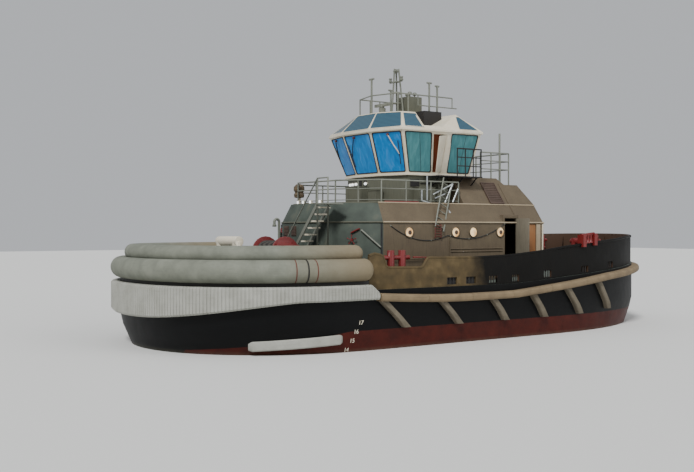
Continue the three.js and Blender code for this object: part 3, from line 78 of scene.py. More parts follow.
# Height, half beam, bow tip, bow curve start, stern tip, stern curve start, fullness
HULL_LEVELS = [
    (-3.05, 2.5, 6.5, 0, -4.2, -0.6, 1.9),
    (-2.7, 3.9, 8.0, 0.9, -5.2, -1.2, 1.9),
    (-1.8, 4.9, 9.6, 2.6, -6.4, -2.0, 2.0),
    (-1.0, 5.15, 10.8, 3.9, -11.1, -3.2, 2.1),
    (0.0, 5.28, 11.85, 5.4, -11.8, -3.1, 2.1),
    (0.7, 5.36, 12.08, 6.3, -12.0, -3.1, 2.2),
    (1.15, 5.45, 12.15, 6.75, -12.1, -3.1, 2.2),
]
# Steps in which a run along the rim is measured
RIM_STEPS = 1500
# Places this near the bow's or stern's tip count as the tip, and the step that gives a normal elsewhere
TIP_NEARNESS = 1e-6
NORMAL_STEP = 1e-4


# Helpers for shapes

# A turned form's ring is never smaller than this
LEAST_RADIUS = 1e-4
# Points nearer than this are joined, in a new shape and in a copy of a CAD node
SHAPE_WELD = 2e-5
NODE_WELD = 1e-4
# Faces that meet at up to this many degrees are joined into one
FLAT_ANGLE = 1.5
# Edges sharper than this are rounded, in a copy of a CAD node and in a new shape
SHARP_ANGLE = 34
BEVEL_ANGLE = 40


class Plan:
    """Plan of one level of the hull: a straight side with a round bow and a round stern."""

    def __init__(self, half_beam, bow_tip, bow_start, stern_tip, stern_start, fullness):
        self.half_beam = half_beam
        self.bow = bow_tip, bow_start, 2 / fullness
        self.stern = stern_tip, stern_start, 2 / (fullness + 0.1)

    def point(self, place):
        """0 is the bow's tip, 1 to 2 the straight side, 3 the stern's tip, and starboard is negative."""
        along = abs(place)
        half_beam = -self.half_beam if place < 0 else self.half_beam
        if 1 < along <= 2:
            return self.bow[1] + (self.stern[1] - self.bow[1]) * (along - 1), half_beam
        tip, start, power = self.bow if along <= 1 else self.stern
        turn = min(along, 3 - along) * math.pi / 2
        x = start + (tip - start) * max(0, math.cos(turn)) ** power
        return x, half_beam * max(0, math.sin(turn)) ** power

    def place_at(self, x):
        low, high = 0.0, 3.0
        for _ in range(40):
            middle = (low + high) / 2
            if self.point(middle)[0] > x:
                low = middle
            else:
                high = middle
        return (low + high) / 2

    def normal(self, place):
        if abs(place) < TIP_NEARNESS:
            return 1.0, 0.0
        if abs(place) > 3 - TIP_NEARNESS:
            return -1.0, 0.0
        ax, ay = self.point(place - NORMAL_STEP)
        bx, by = self.point(place + NORMAL_STEP)
        length = math.hypot(bx - ax, by - ay)
        return (by - ay) / length, -(bx - ax) / length

    def out_from(self, place, out):
        x, y = self.point(place)
        nx, ny = self.normal(place)
        return x + nx * out, y + ny * out


RIM = Plan(*HULL_LEVELS[-1][1:])


def rim_point(x, side, out=BULWARK_MIDDLE):
    """The x and y of a point out from the rim, near an x on one side."""
    return RIM.out_from(RIM.place_at(x) * side, out)


def deck_height(x):
    return DECK + max(0.0, SHEER_START - x) * SHEER_SLOPE


def level_plan(z):
    """The hull's plan at a height, between the two levels around it."""
    if z >= HULL_LEVELS[-1][0]:
        return RIM
    upper = next(i for i, row in enumerate(HULL_LEVELS) if row[0] > z)
    low, high = HULL_LEVELS[upper - 1], HULL_LEVELS[upper]
    share = (z - low[0]) / (high[0] - low[0])
    return Plan(*[a + (b - a) * share for a, b in zip(low[1:], high[1:])])


def hull_point(x, z, out=0.0, side=1):
    plan = level_plan(z)
    px, py = plan.out_from(plan.place_at(x), out)
    return Vector((px, side * py, z))


def casing_y(z, side):
    """How far out the sloping side above the eave stands."""
    return side * (HOUSE_SIDE - (z - EAVE) * TUMBLEHOME)


def even_places(start, end, spacing):
    """Places on the rim about evenly spaced along its length, with both ends."""
    fine = [start + (end - start) * i / RIM_STEPS for i in range(RIM_STEPS + 1)]
    points = [RIM.point(place) for place in fine]
    run = [0.0]
    for (ax, ay), (bx, by) in zip(points, points[1:]):
        run.append(run[-1] + math.hypot(bx - ax, by - ay))
    count = max(2, round(run[-1] / spacing))
    places, at = [], 0
    for i in range(count + 1):
        wanted = run[-1] * i / count
        while at < RIM_STEPS and run[at + 1] < wanted:
            at += 1
        if at >= RIM_STEPS:
            places.append(end)
            continue
        step = run[at + 1] - run[at]
        places.append(fine[at] + (fine[at + 1] - fine[at]) * ((wanted - run[at]) / step if step else 0))
    return places


def ring_points(centre, u, v, radius, sides):
    turns = [2 * math.pi * i / sides for i in range(sides)]
    return [centre + radius * (math.cos(turn) * u + math.sin(turn) * v) for turn in turns]


def rim_circle(place, out, height, radius, sides=36):
    """A ring across a round fender that runs along the rim."""
    turns = [2 * math.pi * i / sides for i in range(sides)]
    return [Vector((*RIM.out_from(place, out + radius * math.cos(turn)), height + radius * math.sin(turn)))
            for turn in turns]


def crosswise(direction):
    """Two unit vectors across a direction."""
    direction = direction.normalized()
    side = direction.cross(UP)
    if side.length < 1e-3:
        side = Vector((1, 0, 0))
    side.normalize()
    return side, direction.cross(side).normalized()


def moved(points, offset):
    return [point + offset for point in points]


class Shape:
    """Corners and faces of one piece, gathered before it becomes an object."""

    def __init__(self):
        self.verts = []
        self.faces = []
        self.slots = []

    def add_faces(self, faces, base=0, slot=0):
        self.faces.extend(tuple(base + i for i in face) for face in faces)
        self.slots.extend([slot] * len(faces))

    def loft(self, rings, caps=True, slot=0):
        """A skin over rings with the same number of points."""
        count = len(rings[0])
        faces = []
        for r in range(len(rings) - 1):
            for i in range(count):
                j = (i + 1) % count
                faces.append((r * count + i, r * count + j, (r + 1) * count + j, (r + 1) * count + i))
        if caps:
            faces.append(tuple(reversed(range(count))))
            faces.append(tuple((len(rings) - 1) * count + i for i in range(count)))
        self.add_faces(faces, len(self.verts), slot)
        self.verts.extend(Vector(point) for ring in rings for point in ring)
        return self

    def block(self, low, high, slot=0):
        x0, y0, z0 = low
        x1, y1, z1 = high
        rings = [[(x0, y0, z), (x1, y0, z), (x1, y1, z), (x0, y1, z)] for z in (z0, z1)]
        return self.loft(rings, slot=slot)

    def bar(self, start, end, radius, sides=10, slot=0, end_radius=None):
        start, end = Vector(start), Vector(end)
        u, v = crosswise(end - start)
        last = radius if end_radius is None else end_radius
        rings = [ring_points(start, v, u, radius, sides), ring_points(end, v, u, last, sides)]
        return self.loft(rings, slot=slot)

    def tube(self, points, radius, sides=8, slot=0):
        """A round bar along points, mitred at the bends."""
        points = [Vector(point) for point in points]
        rings = []
        u = v = None
        for i, point in enumerate(points):
            before = point - points[i - 1] if i else points[1] - point
            after = points[i + 1] - point if i + 1 < len(points) else point - points[i - 1]
            along = (before.normalized() + after.normalized()).normalized()
            if u is None:
                u, v = crosswise(along)
            else:
                u = (u - along * u.dot(along)).normalized()
                v = along.cross(u).normalized()
            rings.append(ring_points(point, v, u, radius, sides))
        return self.loft(rings, slot=slot)

    def turned(self, profile, centre, axis=UP, sides=24, slot=0, caps=True):
        """A turned form from (radius, height) points along an axis."""
        centre, axis = Vector(centre), Vector(axis).normalized()
        u, v = crosswise(axis)
        rings = [ring_points(centre + axis * height, v, u, max(radius, LEAST_RADIUS), sides)
                 for radius, height in profile]
        return self.loft(rings, caps, slot)

    def plate(self, outline, offset, slot=0):
        """A flat outline of points made as thick as the offset vector."""
        outline = [Vector(point) for point in outline]
        return self.loft([outline, moved(outline, Vector(offset))], slot=slot)

    def frame_ring(self, outer, inner, offset):
        """A flat frame between two outlines with the same number of points."""
        offset = Vector(offset)
        return self.loft([outer, inner, moved(inner, offset), moved(outer, offset), outer], caps=False)

    def both_sides(self):
        """Adds a mirrored copy on the other side of the ship."""
        base = len(self.verts)
        self.faces += [tuple(base + i for i in reversed(face)) for face in self.faces]
        self.verts += [Vector((point.x, -point.y, point.z)) for point in self.verts]
        self.slots *= 2
        return self

    def piece(self, name, slot, paints, replaces=(), angle=35, bevel=0.0, body="hull"):
        """Makes the shape a piece of the scene, with its faces turned outwards."""
        mesh = bpy.data.meshes.new(name)
        mesh.from_pydata([tuple(point) for point in self.verts], [], self.faces)
        mesh.polygons.foreach_set("material_index", self.slots)
        work = bmesh.new()
        work.from_mesh(mesh)
        bmesh.ops.remove_doubles(work, verts=work.verts, dist=SHAPE_WELD)
        bmesh.ops.recalc_face_normals(work, faces=work.faces)
        work.to_mesh(mesh)
        work.free()
        placed(mesh, name, body, paints, replaces, angle, bevel)


def placed(mesh, name, body, paints, replaces=(), angle=35, bevel=0.0):
    """Puts a mesh in the scene as one piece that rides on a body, in one paint or a list of them."""
    mesh.name = name
    for paint in [paints] if isinstance(paints, str) else paints:
        mesh.materials.append(MATERIALS[paint])
    piece = bpy.data.objects.new(name, mesh)
    bpy.context.scene.collection.objects.link(piece)
    mesh.shade_smooth()
    if bevel:
        edge = piece.modifiers.new("soft_edges", "BEVEL")
        edge.width = bevel
        edge.segments = 2
        edge.limit_method = "ANGLE"
        edge.angle_limit = math.radians(BEVEL_ANGLE)
        edge.harden_normals = False
    mesh.set_sharp_from_angle(angle=math.radians(angle))
    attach(piece, body)
    if replaces:
        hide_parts(*replaces)


def softened(node, paint, bevel, angle=35):
    """Makes a copy of a CAD node, with clean faces and rounded edges, stand for that node."""
    mesh = frame["nodes"][node].data.copy()
    mesh.materials.clear()
    work = bmesh.new()
    work.from_mesh(mesh)
    bmesh.ops.remove_doubles(work, verts=work.verts, dist=NODE_WELD)
    bmesh.ops.dissolve_limit(work, angle_limit=math.radians(FLAT_ANGLE), verts=work.verts, edges=work.edges)
    # Facets of round forms and edges too short for the rounding keep their corners
    sharp = [edge for edge in work.edges if len(edge.link_faces) == 2
             and edge.calc_face_angle(0) > math.radians(SHARP_ANGLE) and edge.calc_length() > bevel * 3]
    if bevel and sharp:
        bmesh.ops.bevel(work, geom=sharp, offset=bevel, segments=2, profile=0.6, affect="EDGES",
                        clamp_overlap=True)
    bmesh.ops.recalc_face_normals(work, faces=work.faces)
    work.to_mesh(mesh)
    work.free()
    placed(mesh, f"{node}_dressed", NODE_BODY[node], paint, [node], angle)


# Helpers for materials

MATERIALS = {}
# Inputs and output of the colour Mix node by place, because its names repeat
MIX_FACTOR, MIX_A, MIX_B, MIX_RESULT = 0, 6, 7, 2


def linear(code):
    """An sRGB hex value as a linear colour."""
    channels = [int(code[i:i + 2], 16) / 255 for i in (1, 3, 5)]
    return tuple(c / 12.92 if c <= 0.04045 else ((c + 0.055) / 1.055) ** 2.4 for c in channels)


def rgba(colour):
    """A hex value, or a colour of the settings, with full alpha."""
    return (*(linear(colour) if isinstance(colour, str) else colour), 1.0)


class Finish:
    """A material in the making: its nodes, its Principled shader and object coordinates in metres."""

    def __init__(self, name, **shader):
        self.material = bpy.data.materials.new(name)
        self.material.use_nodes = True
        self.tree = self.material.node_tree
        self.shader = self.tree.nodes["Principled BSDF"]
        for key, value in shader.items():
            self.shader.inputs[key.replace("_", " ")].default_value = value
        self.coords = self.add_node("TexCoord")["Object"]

    def add_node(self, kind, links=None, stops=(), **settings):
        """Adds a node with its settings and a value or a socket for each input, and gives its outputs."""
        node = self.tree.nodes.new("ShaderNode" + kind)
        for key, value in settings.items():
            setattr(node, key, value)
        for key, value in (links or {}).items():
            if isinstance(value, bpy.types.NodeSocket):
                self.tree.links.new(value, node.inputs[key])
            else:
                node.inputs[key].default_value = value
        for i, (position, value) in enumerate(stops):
            element = node.color_ramp.elements[i] if i < 2 else node.color_ramp.elements.new(position)
            element.position = position
            element.color = (value, value, value, 1) if isinstance(value, float) else rgba(value)
        return node.outputs

    def feed(self, socket, *keys):
        for key in keys:
            self.tree.links.new(socket, self.shader.inputs[key])

    def mixed(self, factor, a, b):
        links = {MIX_FACTOR: factor, MIX_A: a, MIX_B: b}
        return self.add_node("Mix", links, data_type="RGBA")[MIX_RESULT]

    def cover(self, factor, colour):
        """Lays a further colour, a socket or a hex value, over what feeds the base colour."""
        base = self.shader.inputs["Base Color"].links[0].from_socket
        over = colour if isinstance(colour, bpy.types.NodeSocket) else rgba(colour)
        self.feed(self.mixed(factor, base, over), "Base Color")


def weathered(name, colour, dusty, grimy, roughness=0.55, streaks=0.5, mottle=0.5, bump=0.15, **shader):
    """Paint on steel plate: cloudy dust, rain streaks down upright faces and faint plate waves."""
    paint = Finish(name, **shader)
    at = paint.coords
    # Dust lies in clouds about 0.8 m across
    clouds = {"Vector": at, "Scale": 1.25, "Detail": 8.0, "Roughness": 0.62}
    cloud = paint.add_node("TexNoise", clouds)["Fac"]
    dust = paint.add_node("ValToRGB", {"Fac": cloud}, [(0.42, 0.0), (0.72, mottle)])["Color"]
    # Streaks are 40 mm apart and 12 times as long
    upright = paint.add_node("Mapping", {"Vector": at, "Scale": (9.0, 9.0, 0.75)})["Vector"]
    runs = {"Vector": upright, "Scale": 2.8, "Detail": 5.0, "Roughness": 0.55}
    streak = paint.add_node("TexNoise", runs)["Fac"]
    grime = paint.add_node("ValToRGB", {"Fac": streak}, [(0.5, 0.0), (0.78, streaks)])["Color"]
    base = paint.mixed(dust, rgba(colour), rgba(dusty))
    paint.feed(paint.mixed(grime, base, rgba(grimy)), "Base Color")
    # Roller stipple of the paint, about 1 mm, drawn near 4 mm so that it shows
    stipple = paint.add_node("TexNoise", {"Vector": at, "Scale": 225.0, "Detail": 2.0})["Fac"]
    rough = {"Value": cloud, "To Min": roughness - 0.08, "To Max": roughness + 0.12}
    paint.feed(paint.add_node("MapRange", rough)["Result"], "Roughness")
    # Plates dish between frames about 0.6 m apart
    wave = paint.add_node("TexNoise", {"Vector": at, "Scale": 1.6, "Detail": 1.0})["Fac"]
    dished = paint.add_node("Bump", {"Height": wave, "Strength": bump, "Distance": 0.05})["Normal"]
    rolled = {"Height": stipple, "Strength": 0.12, "Distance": 0.002, "Normal": dished}
    paint.feed(paint.add_node("Bump", rolled)["Normal"], "Normal")
    return paint


def moulded_rubber(name, colour, chalk, dark):
    """Moulded marine rubber: matt, chalked where it has aged, with scuffs along its length."""
    rubber = Finish(name, Roughness=0.82, IOR=1.52)
    at = rubber.coords
    clouds = {"Vector": at, "Scale": 1.7, "Detail": 10.0, "Roughness": 0.65}
    cloud = rubber.add_node("TexNoise", clouds)["Fac"]
    chalked = rubber.add_node("ValToRGB", {"Fac": cloud}, [(0.38, 0.0), (0.68, 0.85)])["Color"]
    base = rubber.mixed(chalked, rgba(colour), rgba(chalk))
    level = rubber.add_node("Mapping", {"Vector": at, "Scale": (0.8, 0.8, 14.0)})["Vector"]
    scuffs = {"Vector": level, "Scale": 1.6, "Detail": 7.0, "Roughness": 0.7}
    scuff = rubber.add_node("TexNoise", scuffs)["Fac"]
    scuffed = rubber.add_node("ValToRGB", {"Fac": scuff}, [(0.55, 0.0), (0.8, 0.55)])["Color"]
    rubber.feed(rubber.mixed(scuffed, base, rgba(dark)), "Base Color")
    # Moulding texture near 3 mm over lumps near 200 mm
    lumps = rubber.add_node("TexNoise", {"Vector": at, "Scale": 5.0, "Detail": 2.0})["Fac"]
    grain = rubber.add_node("TexNoise", {"Vector": at, "Scale": 320.0, "Detail": 2.0})["Fac"]
    lumpy = rubber.add_node("Bump", {"Height": lumps, "Strength": 0.22, "Distance": 0.02})["Normal"]
    moulded = {"Height": grain, "Strength": 0.25, "Distance": 0.002, "Normal": lumpy}
    rubber.feed(rubber.add_node("Bump", moulded)["Normal"], "Normal")
    return rubber


def hull_enamel(colour):
    """Black enamel above a sloping boot line, red antifouling below it and pale scum at the water."""
    enamel = weathered("black_hull_enamel", colour, "#0b0c0e", "#14110e", roughness=0.5, streaks=0.3,
                       mottle=0.4, bump=0.25, Specular_IOR_Level=0.16)
    at = enamel.coords
    axes = enamel.add_node("SeparateXYZ", {"Vector": at})
    # The boot line drops towards the bow
    line = {"Value": axes["X"], "From Min": 6.6, "From Max": 11.45, "To Min": 0.7, "To Max": 0.1}
    slope = enamel.add_node("MapRange", line)["Result"]
    edge = enamel.add_node("TexNoise", {"Vector": at, "Scale": 3.0, "Detail": 4.0})["Fac"]
    ragged = enamel.add_node("Math", {0: edge, 1: 0.03, 2: slope}, operation="MULTIPLY_ADD")["Value"]
    under = enamel.add_node("Math", {0: axes["Z"], 1: ragged}, operation="LESS_THAN")["Value"]
    # The forefoot ahead of the boot line stays black
    aft = enamel.add_node("Math", {0: axes["X"], 1: 11.33}, operation="LESS_THAN")["Value"]
    deep = enamel.add_node("Math", {0: axes["Z"], 1: -0.6}, operation="LESS_THAN")["Value"]
    zone = enamel.add_node("Math", {0: aft, 1: deep}, operation="MAXIMUM")["Value"]
    red_zone = enamel.add_node("Math", {0: under, 1: zone}, operation="MULTIPLY")["Value"]
    patches = {"Vector": at, "Scale": 2.2, "Detail": 9.0, "Roughness": 0.7}
    patch = enamel.add_node("TexNoise", patches)["Fac"]
    reds = [(0.3, "#34110c"), (0.7, "#4c1a12"), (0.9, "#5c2a20")]
    enamel.cover(red_zone, enamel.add_node("ValToRGB", {"Fac": patch}, reds)["Color"])
    # Dried scum within 140 mm of the water
    fade = {"Value": axes["Z"], "From Min": 0.0, "From Max": 0.14, "To Min": 0.55, "To Max": 0.0}
    scum = enamel.add_node("MapRange", fade)["Result"]
    broken = enamel.add_node("Math", {0: scum, 1: patch}, operation="MULTIPLY")["Value"]
    enamel.cover(broken, "#5d5a4a")
    return enamel


def deck_paint(colour):
    """Grey-green anti-slip deck paint with grit that shows as fine bumps."""
    paint = weathered("anti_slip_deck_paint", colour, "#5e655a", "#3b3a34", roughness=0.8, streaks=0.0,
                      mottle=0.7, bump=0.1)
    # Grit is 1 to 2 mm, drawn near 8 mm
    grit = paint.add_node("TexVoronoi", {"Vector": paint.coords, "Scale": 125.0})["Distance"]
    gritty = paint.add_node("Bump", {"Height": grit, "Strength": 0.35, "Distance": 0.003})
    paint.feed(gritty["Normal"], "Normal")
    return paint


def bow_rubber(colour):
    """Grey bow cylinders that turn tan with dust towards the working deck."""
    rubber = moulded_rubber("grey_cylinder_rubber", colour, "#7e8174", "#53554b")
    axes = rubber.add_node("SeparateXYZ", {"Vector": rubber.coords})
    tan = rubber.add_node("MapRange", {"Value": axes["X"], "From Min": 9.3, "From Max": 6.4, "To Min": 0.0,
                                       "To Max": 0.7})
    rubber.cover(tan["Result"], "#7f6e50")
    return rubber


def bulwark_paint():
    """Tan at the low forward part, then black enamel, and brown primer inside."""
    paint = weathered("bulwark_primer_and_enamel", "#0a0907", "#14120f", "#1f1a14", streaks=0.4,
                      mottle=0.4, bump=0.3, Specular_IOR_Level=0.14)
    at = paint.coords
    axes = paint.add_node("SeparateXYZ", {"Vector": at})
    # Towards the bow the bulwark turns tan, along a ragged edge
    edge = paint.add_node("TexNoise", {"Vector": at, "Scale": 1.4, "Detail": 6.0})["Fac"]
    shift = paint.add_node("Math", {0: edge, 1: 1.6, 2: axes["X"]}, operation="MULTIPLY_ADD")["Value"]
    fore = paint.add_node("MapRange", {"Value": shift, "From Min": 1.2, "From Max": 2.3})["Result"]
    patch = paint.add_node("TexNoise", {"Vector": at, "Scale": 2.6, "Detail": 8.0})["Fac"]
    tans = [(0.3, "#463c2a"), (0.55, "#554831"), (0.75, "#66573c")]
    paint.cover(fore, paint.add_node("ValToRGB", {"Fac": patch}, tans)["Color"])
    # Faces that look back towards the ship's middle are inside
    face = paint.add_node("NewGeometry")
    sides = {0: face["Normal"], 1: face["Position"]}
    outward = paint.add_node("VectorMath", sides, operation="DOT_PRODUCT")
    inside = paint.add_node("Math", {0: outward["Value"], 1: -0.3}, operation="LESS_THAN")
    paint.cover(inside["Value"], "#46352a")
    return paint


def house_primer(colour):
    """Tan primer on the deckhouse, grey-green where the front faces the fore deck."""
    primer = weathered("deckhouse_primer", colour, "#695d48", "#3d3529", roughness=0.72, streaks=0.55,
                       mottle=0.6, bump=0.25)
    face = primer.add_node("NewGeometry")
    facing = primer.add_node("SeparateXYZ", {"Vector": face["True Normal"]})
    axes = primer.add_node("SeparateXYZ", {"Vector": primer.coords})
    forward = primer.add_node("Math", {0: facing["X"], 1: 0.2}, operation="GREATER_THAN")["Value"]
    ahead = primer.add_node("Math", {0: axes["X"], 1: 3.7}, operation="GREATER_THAN")["Value"]
    fore = primer.add_node("Math", {0: forward, 1: ahead}, operation="MULTIPLY")["Value"]
    patch = primer.add_node("TexNoise", {"Vector": primer.coords, "Scale": 1.8, "Detail": 7.0})["Fac"]
    greens = [(0.3, "#363e37"), (0.6, "#464f46"), (0.8, "#5c5c4e")]
    primer.cover(fore, primer.add_node("ValToRGB", {"Fac": patch}, greens)["Color"])
    return primer


def red_enamel(colour):
    """Semi-gloss red enamel on deck fittings, chipped to dark steel."""
    enamel = weathered("red_enamel", colour, "#85332f", "#43110f", roughness=0.4, streaks=0.35, mottle=0.4,
                       bump=0.05)
    chips = enamel.add_node("TexNoise", {"Vector": enamel.coords, "Scale": 18.0, "Detail": 6.0})["Fac"]
    bare = enamel.add_node("ValToRGB", {"Fac": chips}, [(0.66, 0.0), (0.69, 0.8)])
    enamel.cover(bare["Color"], "#2c2421")
    return enamel


def bare_aluminium():
    """Mill-finish aluminium tube, dulled by salt."""
    metal = Finish("mill_aluminium", Metallic=1.0, Roughness=0.38)
    cloud = metal.add_node("TexNoise", {"Vector": metal.coords, "Scale": 14.0, "Detail": 5.0})["Fac"]
    base = metal.add_node("ValToRGB", {"Fac": cloud}, [(0.3, "#9da3a3"), (0.7, "#c3c7c7")])
    metal.feed(base["Color"], "Base Color")
    rough = metal.add_node("MapRange", {"Value": cloud, "To Min": 0.3, "To Max": 0.52})
    metal.feed(rough["Result"], "Roughness")
    return metal


def propeller_bronze():
    """Nickel-aluminium bronze, machined and stained by the sea."""
    metal = Finish("propeller_bronze", Metallic=1.0, Roughness=0.34)
    cloud = metal.add_node("TexNoise", {"Vector": metal.coords, "Scale": 6.0, "Detail": 8.0})["Fac"]
    stains = [(0.3, "#8b6a33"), (0.6, "#b08a47"), (0.8, "#7a7148")]
    metal.feed(metal.add_node("ValToRGB", {"Fac": cloud}, stains)["Color"], "Base Color")
    return metal


def window_film(name, colour, fold, light):
    """Self-adhesive protective film on window glass, with soft vertical folds, darker in their hollows as
    painted shade and lighter on their crests as painted highlight.
    """
    film = Finish(name, Roughness=0.45, IOR=1.46, Specular_IOR_Level=0.12, Emission_Strength=0.22)
    flow = film.add_node("Mapping", {"Vector": film.coords, "Scale": (2.4, 2.4, 0.5)})["Vector"]
    creases = {"Vector": flow, "Scale": 2.0, "Detail": 4.0, "Distortion": 0.6}
    folds = film.add_node("TexNoise", creases)["Fac"]
    # The tint follows the folds: painted shade in their hollows, painted highlight on their crests
    tint = film.add_node("ValToRGB", {"Fac": folds}, [(0.3, fold), (0.52, colour), (0.75, light)])["Color"]
    # Lamps inside shine faintly through the film
    film.feed(tint, "Base Color", "Emission Color")
    bump = film.add_node("Bump", {"Height": folds, "Strength": 0.12, "Distance": 0.02})
    film.feed(bump["Normal"], "Normal")
    return film


def glowing(name, scale, low, high, strength, **shader):
    """Frosted glass that lets lamplight through, mottled between two tints."""
    glass = Finish(name, Emission_Strength=strength, **shader)
    frost = glass.add_node("TexNoise", {"Vector": glass.coords, "Scale": scale, "Detail": 2.0})["Fac"]
    tint = glass.add_node("ValToRGB", {"Fac": frost}, [(0.3, low), (0.7, high)])["Color"]
    glass.feed(tint, "Base Color", "Emission Color")
    return glass


def skylight_pane():
    """Tinted skylight glass over drawn blinds."""
    glass = Finish("tinted_skylight_glass", Roughness=0.22, IOR=1.52, Specular_IOR_Level=0.25)
    # Blind slats 60 mm apart
    slats = glass.add_node("TexWave", {"Vector": glass.coords, "Scale": 5.2, "Distortion": 0.2},
                           wave_type="BANDS", bands_direction="Z")["Color"]
    tint = glass.add_node("ValToRGB", {"Fac": slats}, [(0.2, "#234353"), (0.8, "#33596b")])
    glass.feed(tint["Color"], "Base Color")
    return glass


def moulded_hood():
    """Brown glass-fibre hood, gel coat gone dull, darker in its creases as painted shade."""
    hood = Finish("glass_fibre_hood", Roughness=0.7)
    crease = hood.add_node("TexNoise", {"Vector": hood.coords, "Scale": 9.0, "Detail": 6.0})["Fac"]
    # Creases are tinted darker as painted shade, their rises lighter
    tint = hood.add_node("ValToRGB", {"Fac": crease}, [(0.3, "#3a3023"), (0.7, "#6a5a42")])
    hood.feed(tint["Color"], "Base Color")
    bump = hood.add_node("Bump", {"Height": crease, "Strength": 0.6, "Distance": 0.02})
    hood.feed(bump["Normal"], "Normal")
    return hood


def laid_rope():
    """Braided towline on the winch: dark, worn fibre with a helical lay, darker between the strands as
    painted shade.
    """
    rope = Finish("braided_towline", Roughness=0.9)
    # Strands 12 mm apart, drawn near 30 mm so that they show
    strands = rope.add_node("TexWave", {"Vector": rope.coords, "Scale": 10.0, "Distortion": 1.0},
                            wave_type="BANDS", bands_direction="DIAGONAL")["Color"]
    # The tint follows the strands: painted shade between them, painted highlight on their crowns
    tint = rope.add_node("ValToRGB", {"Fac": strands}, [(0.1, "#1d1c1b"), (0.9, "#4a4741")])
    rope.feed(tint["Color"], "Base Color")
    bump = rope.add_node("Bump", {"Height": strands, "Strength": 0.6, "Distance": 0.01})
    rope.feed(bump["Normal"], "Normal")
    return rope


def make_materials(colours):
    finishes = {
        "hull": hull_enamel(colours.hull),
        # Matt red antifouling, rolled on and a little chalky
        "antifouling": weathered("red_antifouling", colours.bottom, "#55261d", "#33110b", roughness=0.72,
                                 streaks=0.3),
        "deck": deck_paint(colours.deck),
        "cylinder": bow_rubber(colours.cylinders),
        # Pale rubber, bleached by sun and salt
        "ribbed": moulded_rubber("pale_ribbed_rubber", colours.ribbed, "#a8a8a0", "#6f6e66"),
        # Near-black that paints the shade in the gap on the bed under the cylinders; the dark middle band
        # round the lower cylinder uses it too
        "bed": weathered("bed_painted_shade_and_dark_band", "#16150f", "#2a2720", "#0f0e0b", roughness=0.6),
        # Tan rubber, scuffed along the quay
        "belt": moulded_rubber("tan_belt_rubber", colours.belt, "#857356", "#463a2b"),
        # The same rubber, darker and greyer
        "diagonal": moulded_rubber("grey_tan_rubber", "#5c5445", "#716857", "#3a332a"),
        "bulwark": bulwark_paint(),
        "house": house_primer(colours.house),
        # Grey-green primer, dull and evenly rolled
        "trunk": weathered("trunk_primer", "#57584a", "#6a6a59", "#3e3d33", roughness=0.7),
        # Semi-gloss white enamel, tinted cream as painted yellow lamplight, and streaked with soot
        "white": weathered("white_enamel_in_painted_lamplight", colours.wheelhouse, "#cdbd9a", "#a08c66", roughness=0.42,
                           streaks=0.28, bump=0.08),
        "red": red_enamel(colours.fittings),
        # Grey paint brushed on rails, mast and small fittings
        "grey": weathered("grey_rail_paint", "#6f7267", "#86867a", "#4b4a42", roughness=0.5, streaks=0.35,
                          bump=0.03),
        # Matt near-black paint on boxes, also standing in as painted shade in recesses such as the roof's
        # notches and behind the forward freeing ports
        "dark": weathered("matt_black_and_painted_shade", "#1d1b1a", "#2c2a28", "#121110", roughness=0.75, streaks=0.2),
        # Orange-brown primer, satin where hands polish it
        "brown": weathered("brown_primer", "#8a5a30", "#9c7146", "#5c3a1d", roughness=0.62, streaks=0.4),
        "aluminium": bare_aluminium(),
        "bronze": propeller_bronze(),
        "blue_film": window_film("blue_window_film", colours.front_film, "#236cab", "#3d8cc9"),
        "teal_film": window_film("teal_window_film", colours.side_film, "#3a696e", "#528487"),
        "skylight": skylight_pane(),
        # Black window gasket, extruded and weathered
        "gasket": moulded_rubber("black_gasket_rubber", "#1c1e1f", "#2e3030", "#0f1011"),
        # Porthole glass lit warm from inside
        "lit": glowing("lit_porthole_glass", 3.0, "#c08a4a", "#ffe2ae", 0.8, Roughness=0.25, IOR=1.52),
        # Lamp glass that glows white
        "lamp": glowing("frosted_lamp_glass", 40.0, "#dfe4e6", "#ffffff", 1.4, Roughness=0.3, IOR=1.5),
        "hood": moulded_hood(),
        # Orange moulded polyethylene, faded by the sun
        "buoy": weathered("orange_buoy_plastic", "#c9542a", "#d97a50", "#8a3a1e", roughness=0.5,
                          streaks=0.2),
        # Woven polyester webbing, rough and soaked with rust
        "strap": weathered("webbing_strap", "#5e3226", "#6d4638", "#3c2018", roughness=0.85),
        # Red oxide primer, flat and dusty
        "dull_red": weathered("dull_red_primer", "#5e2c24", "#6d3f33", "#3a1a14", roughness=0.7),
        # Grey primer, a little smoother than the walls
        "door": weathered("door_primer", "#6b6455", "#7d7666", "#48433a", roughness=0.6),
        # Varnished plywood, red in the cabin's light
        "plywood": weathered("plywood_board", "#823f22", "#934f30", "#5a2814", roughness=0.65, streaks=0.2),
        # Pale primer, lightened as a painted highlight where the light catches the eaves
        "eave": weathered("eave_primer_painted_highlight", "#a4947a", "#b5a78d", "#6d604c", roughness=0.6),
        # Dark brown primer, darkened as painted shade among the louvres; the deadlights and front vents use
        # it too
        "louvre": weathered("louvre_primer_and_painted_shade", "#4a3a30", "#5c4b3e", "#2e241d", roughness=0.7),
        "rope": laid_rope(),
    }
    MATERIALS.update({key: finish.material for key, finish in finishes.items()})


# Pieces

HULL_HEIGHTS = [-3.05, -2.95, -2.7, -2.3, -1.8, -1.4, -1.0, -0.6, -0.3, 0.0, 0.2, 0.45, 0.7, 0.9, 1.15]
HULL_STEPS = 160
# Radius and height along the round pad over each stern drive
DRIVE_PAD = [(0, -1.56), (0.75, -1.56), (0.76, -1.53), (0.76, -0.9)]
DRIVE_X, DRIVE_Y = -8.8, 2.3
# x and height of the base of each draught mark, and its figure
DRAUGHT_MARKS = [(6.71, 0.02, "14"), (6.53, 0.325, "15"), (6.4, 0.63, "16"), (6.24, 0.935, "17")]
# A font's size over the height of its figures, and how far the weld bead stands out
FONT_SIZE_SHARE = 1.4
BEAD_OUT = 0.006
BEAD_DEPTH = 0.004


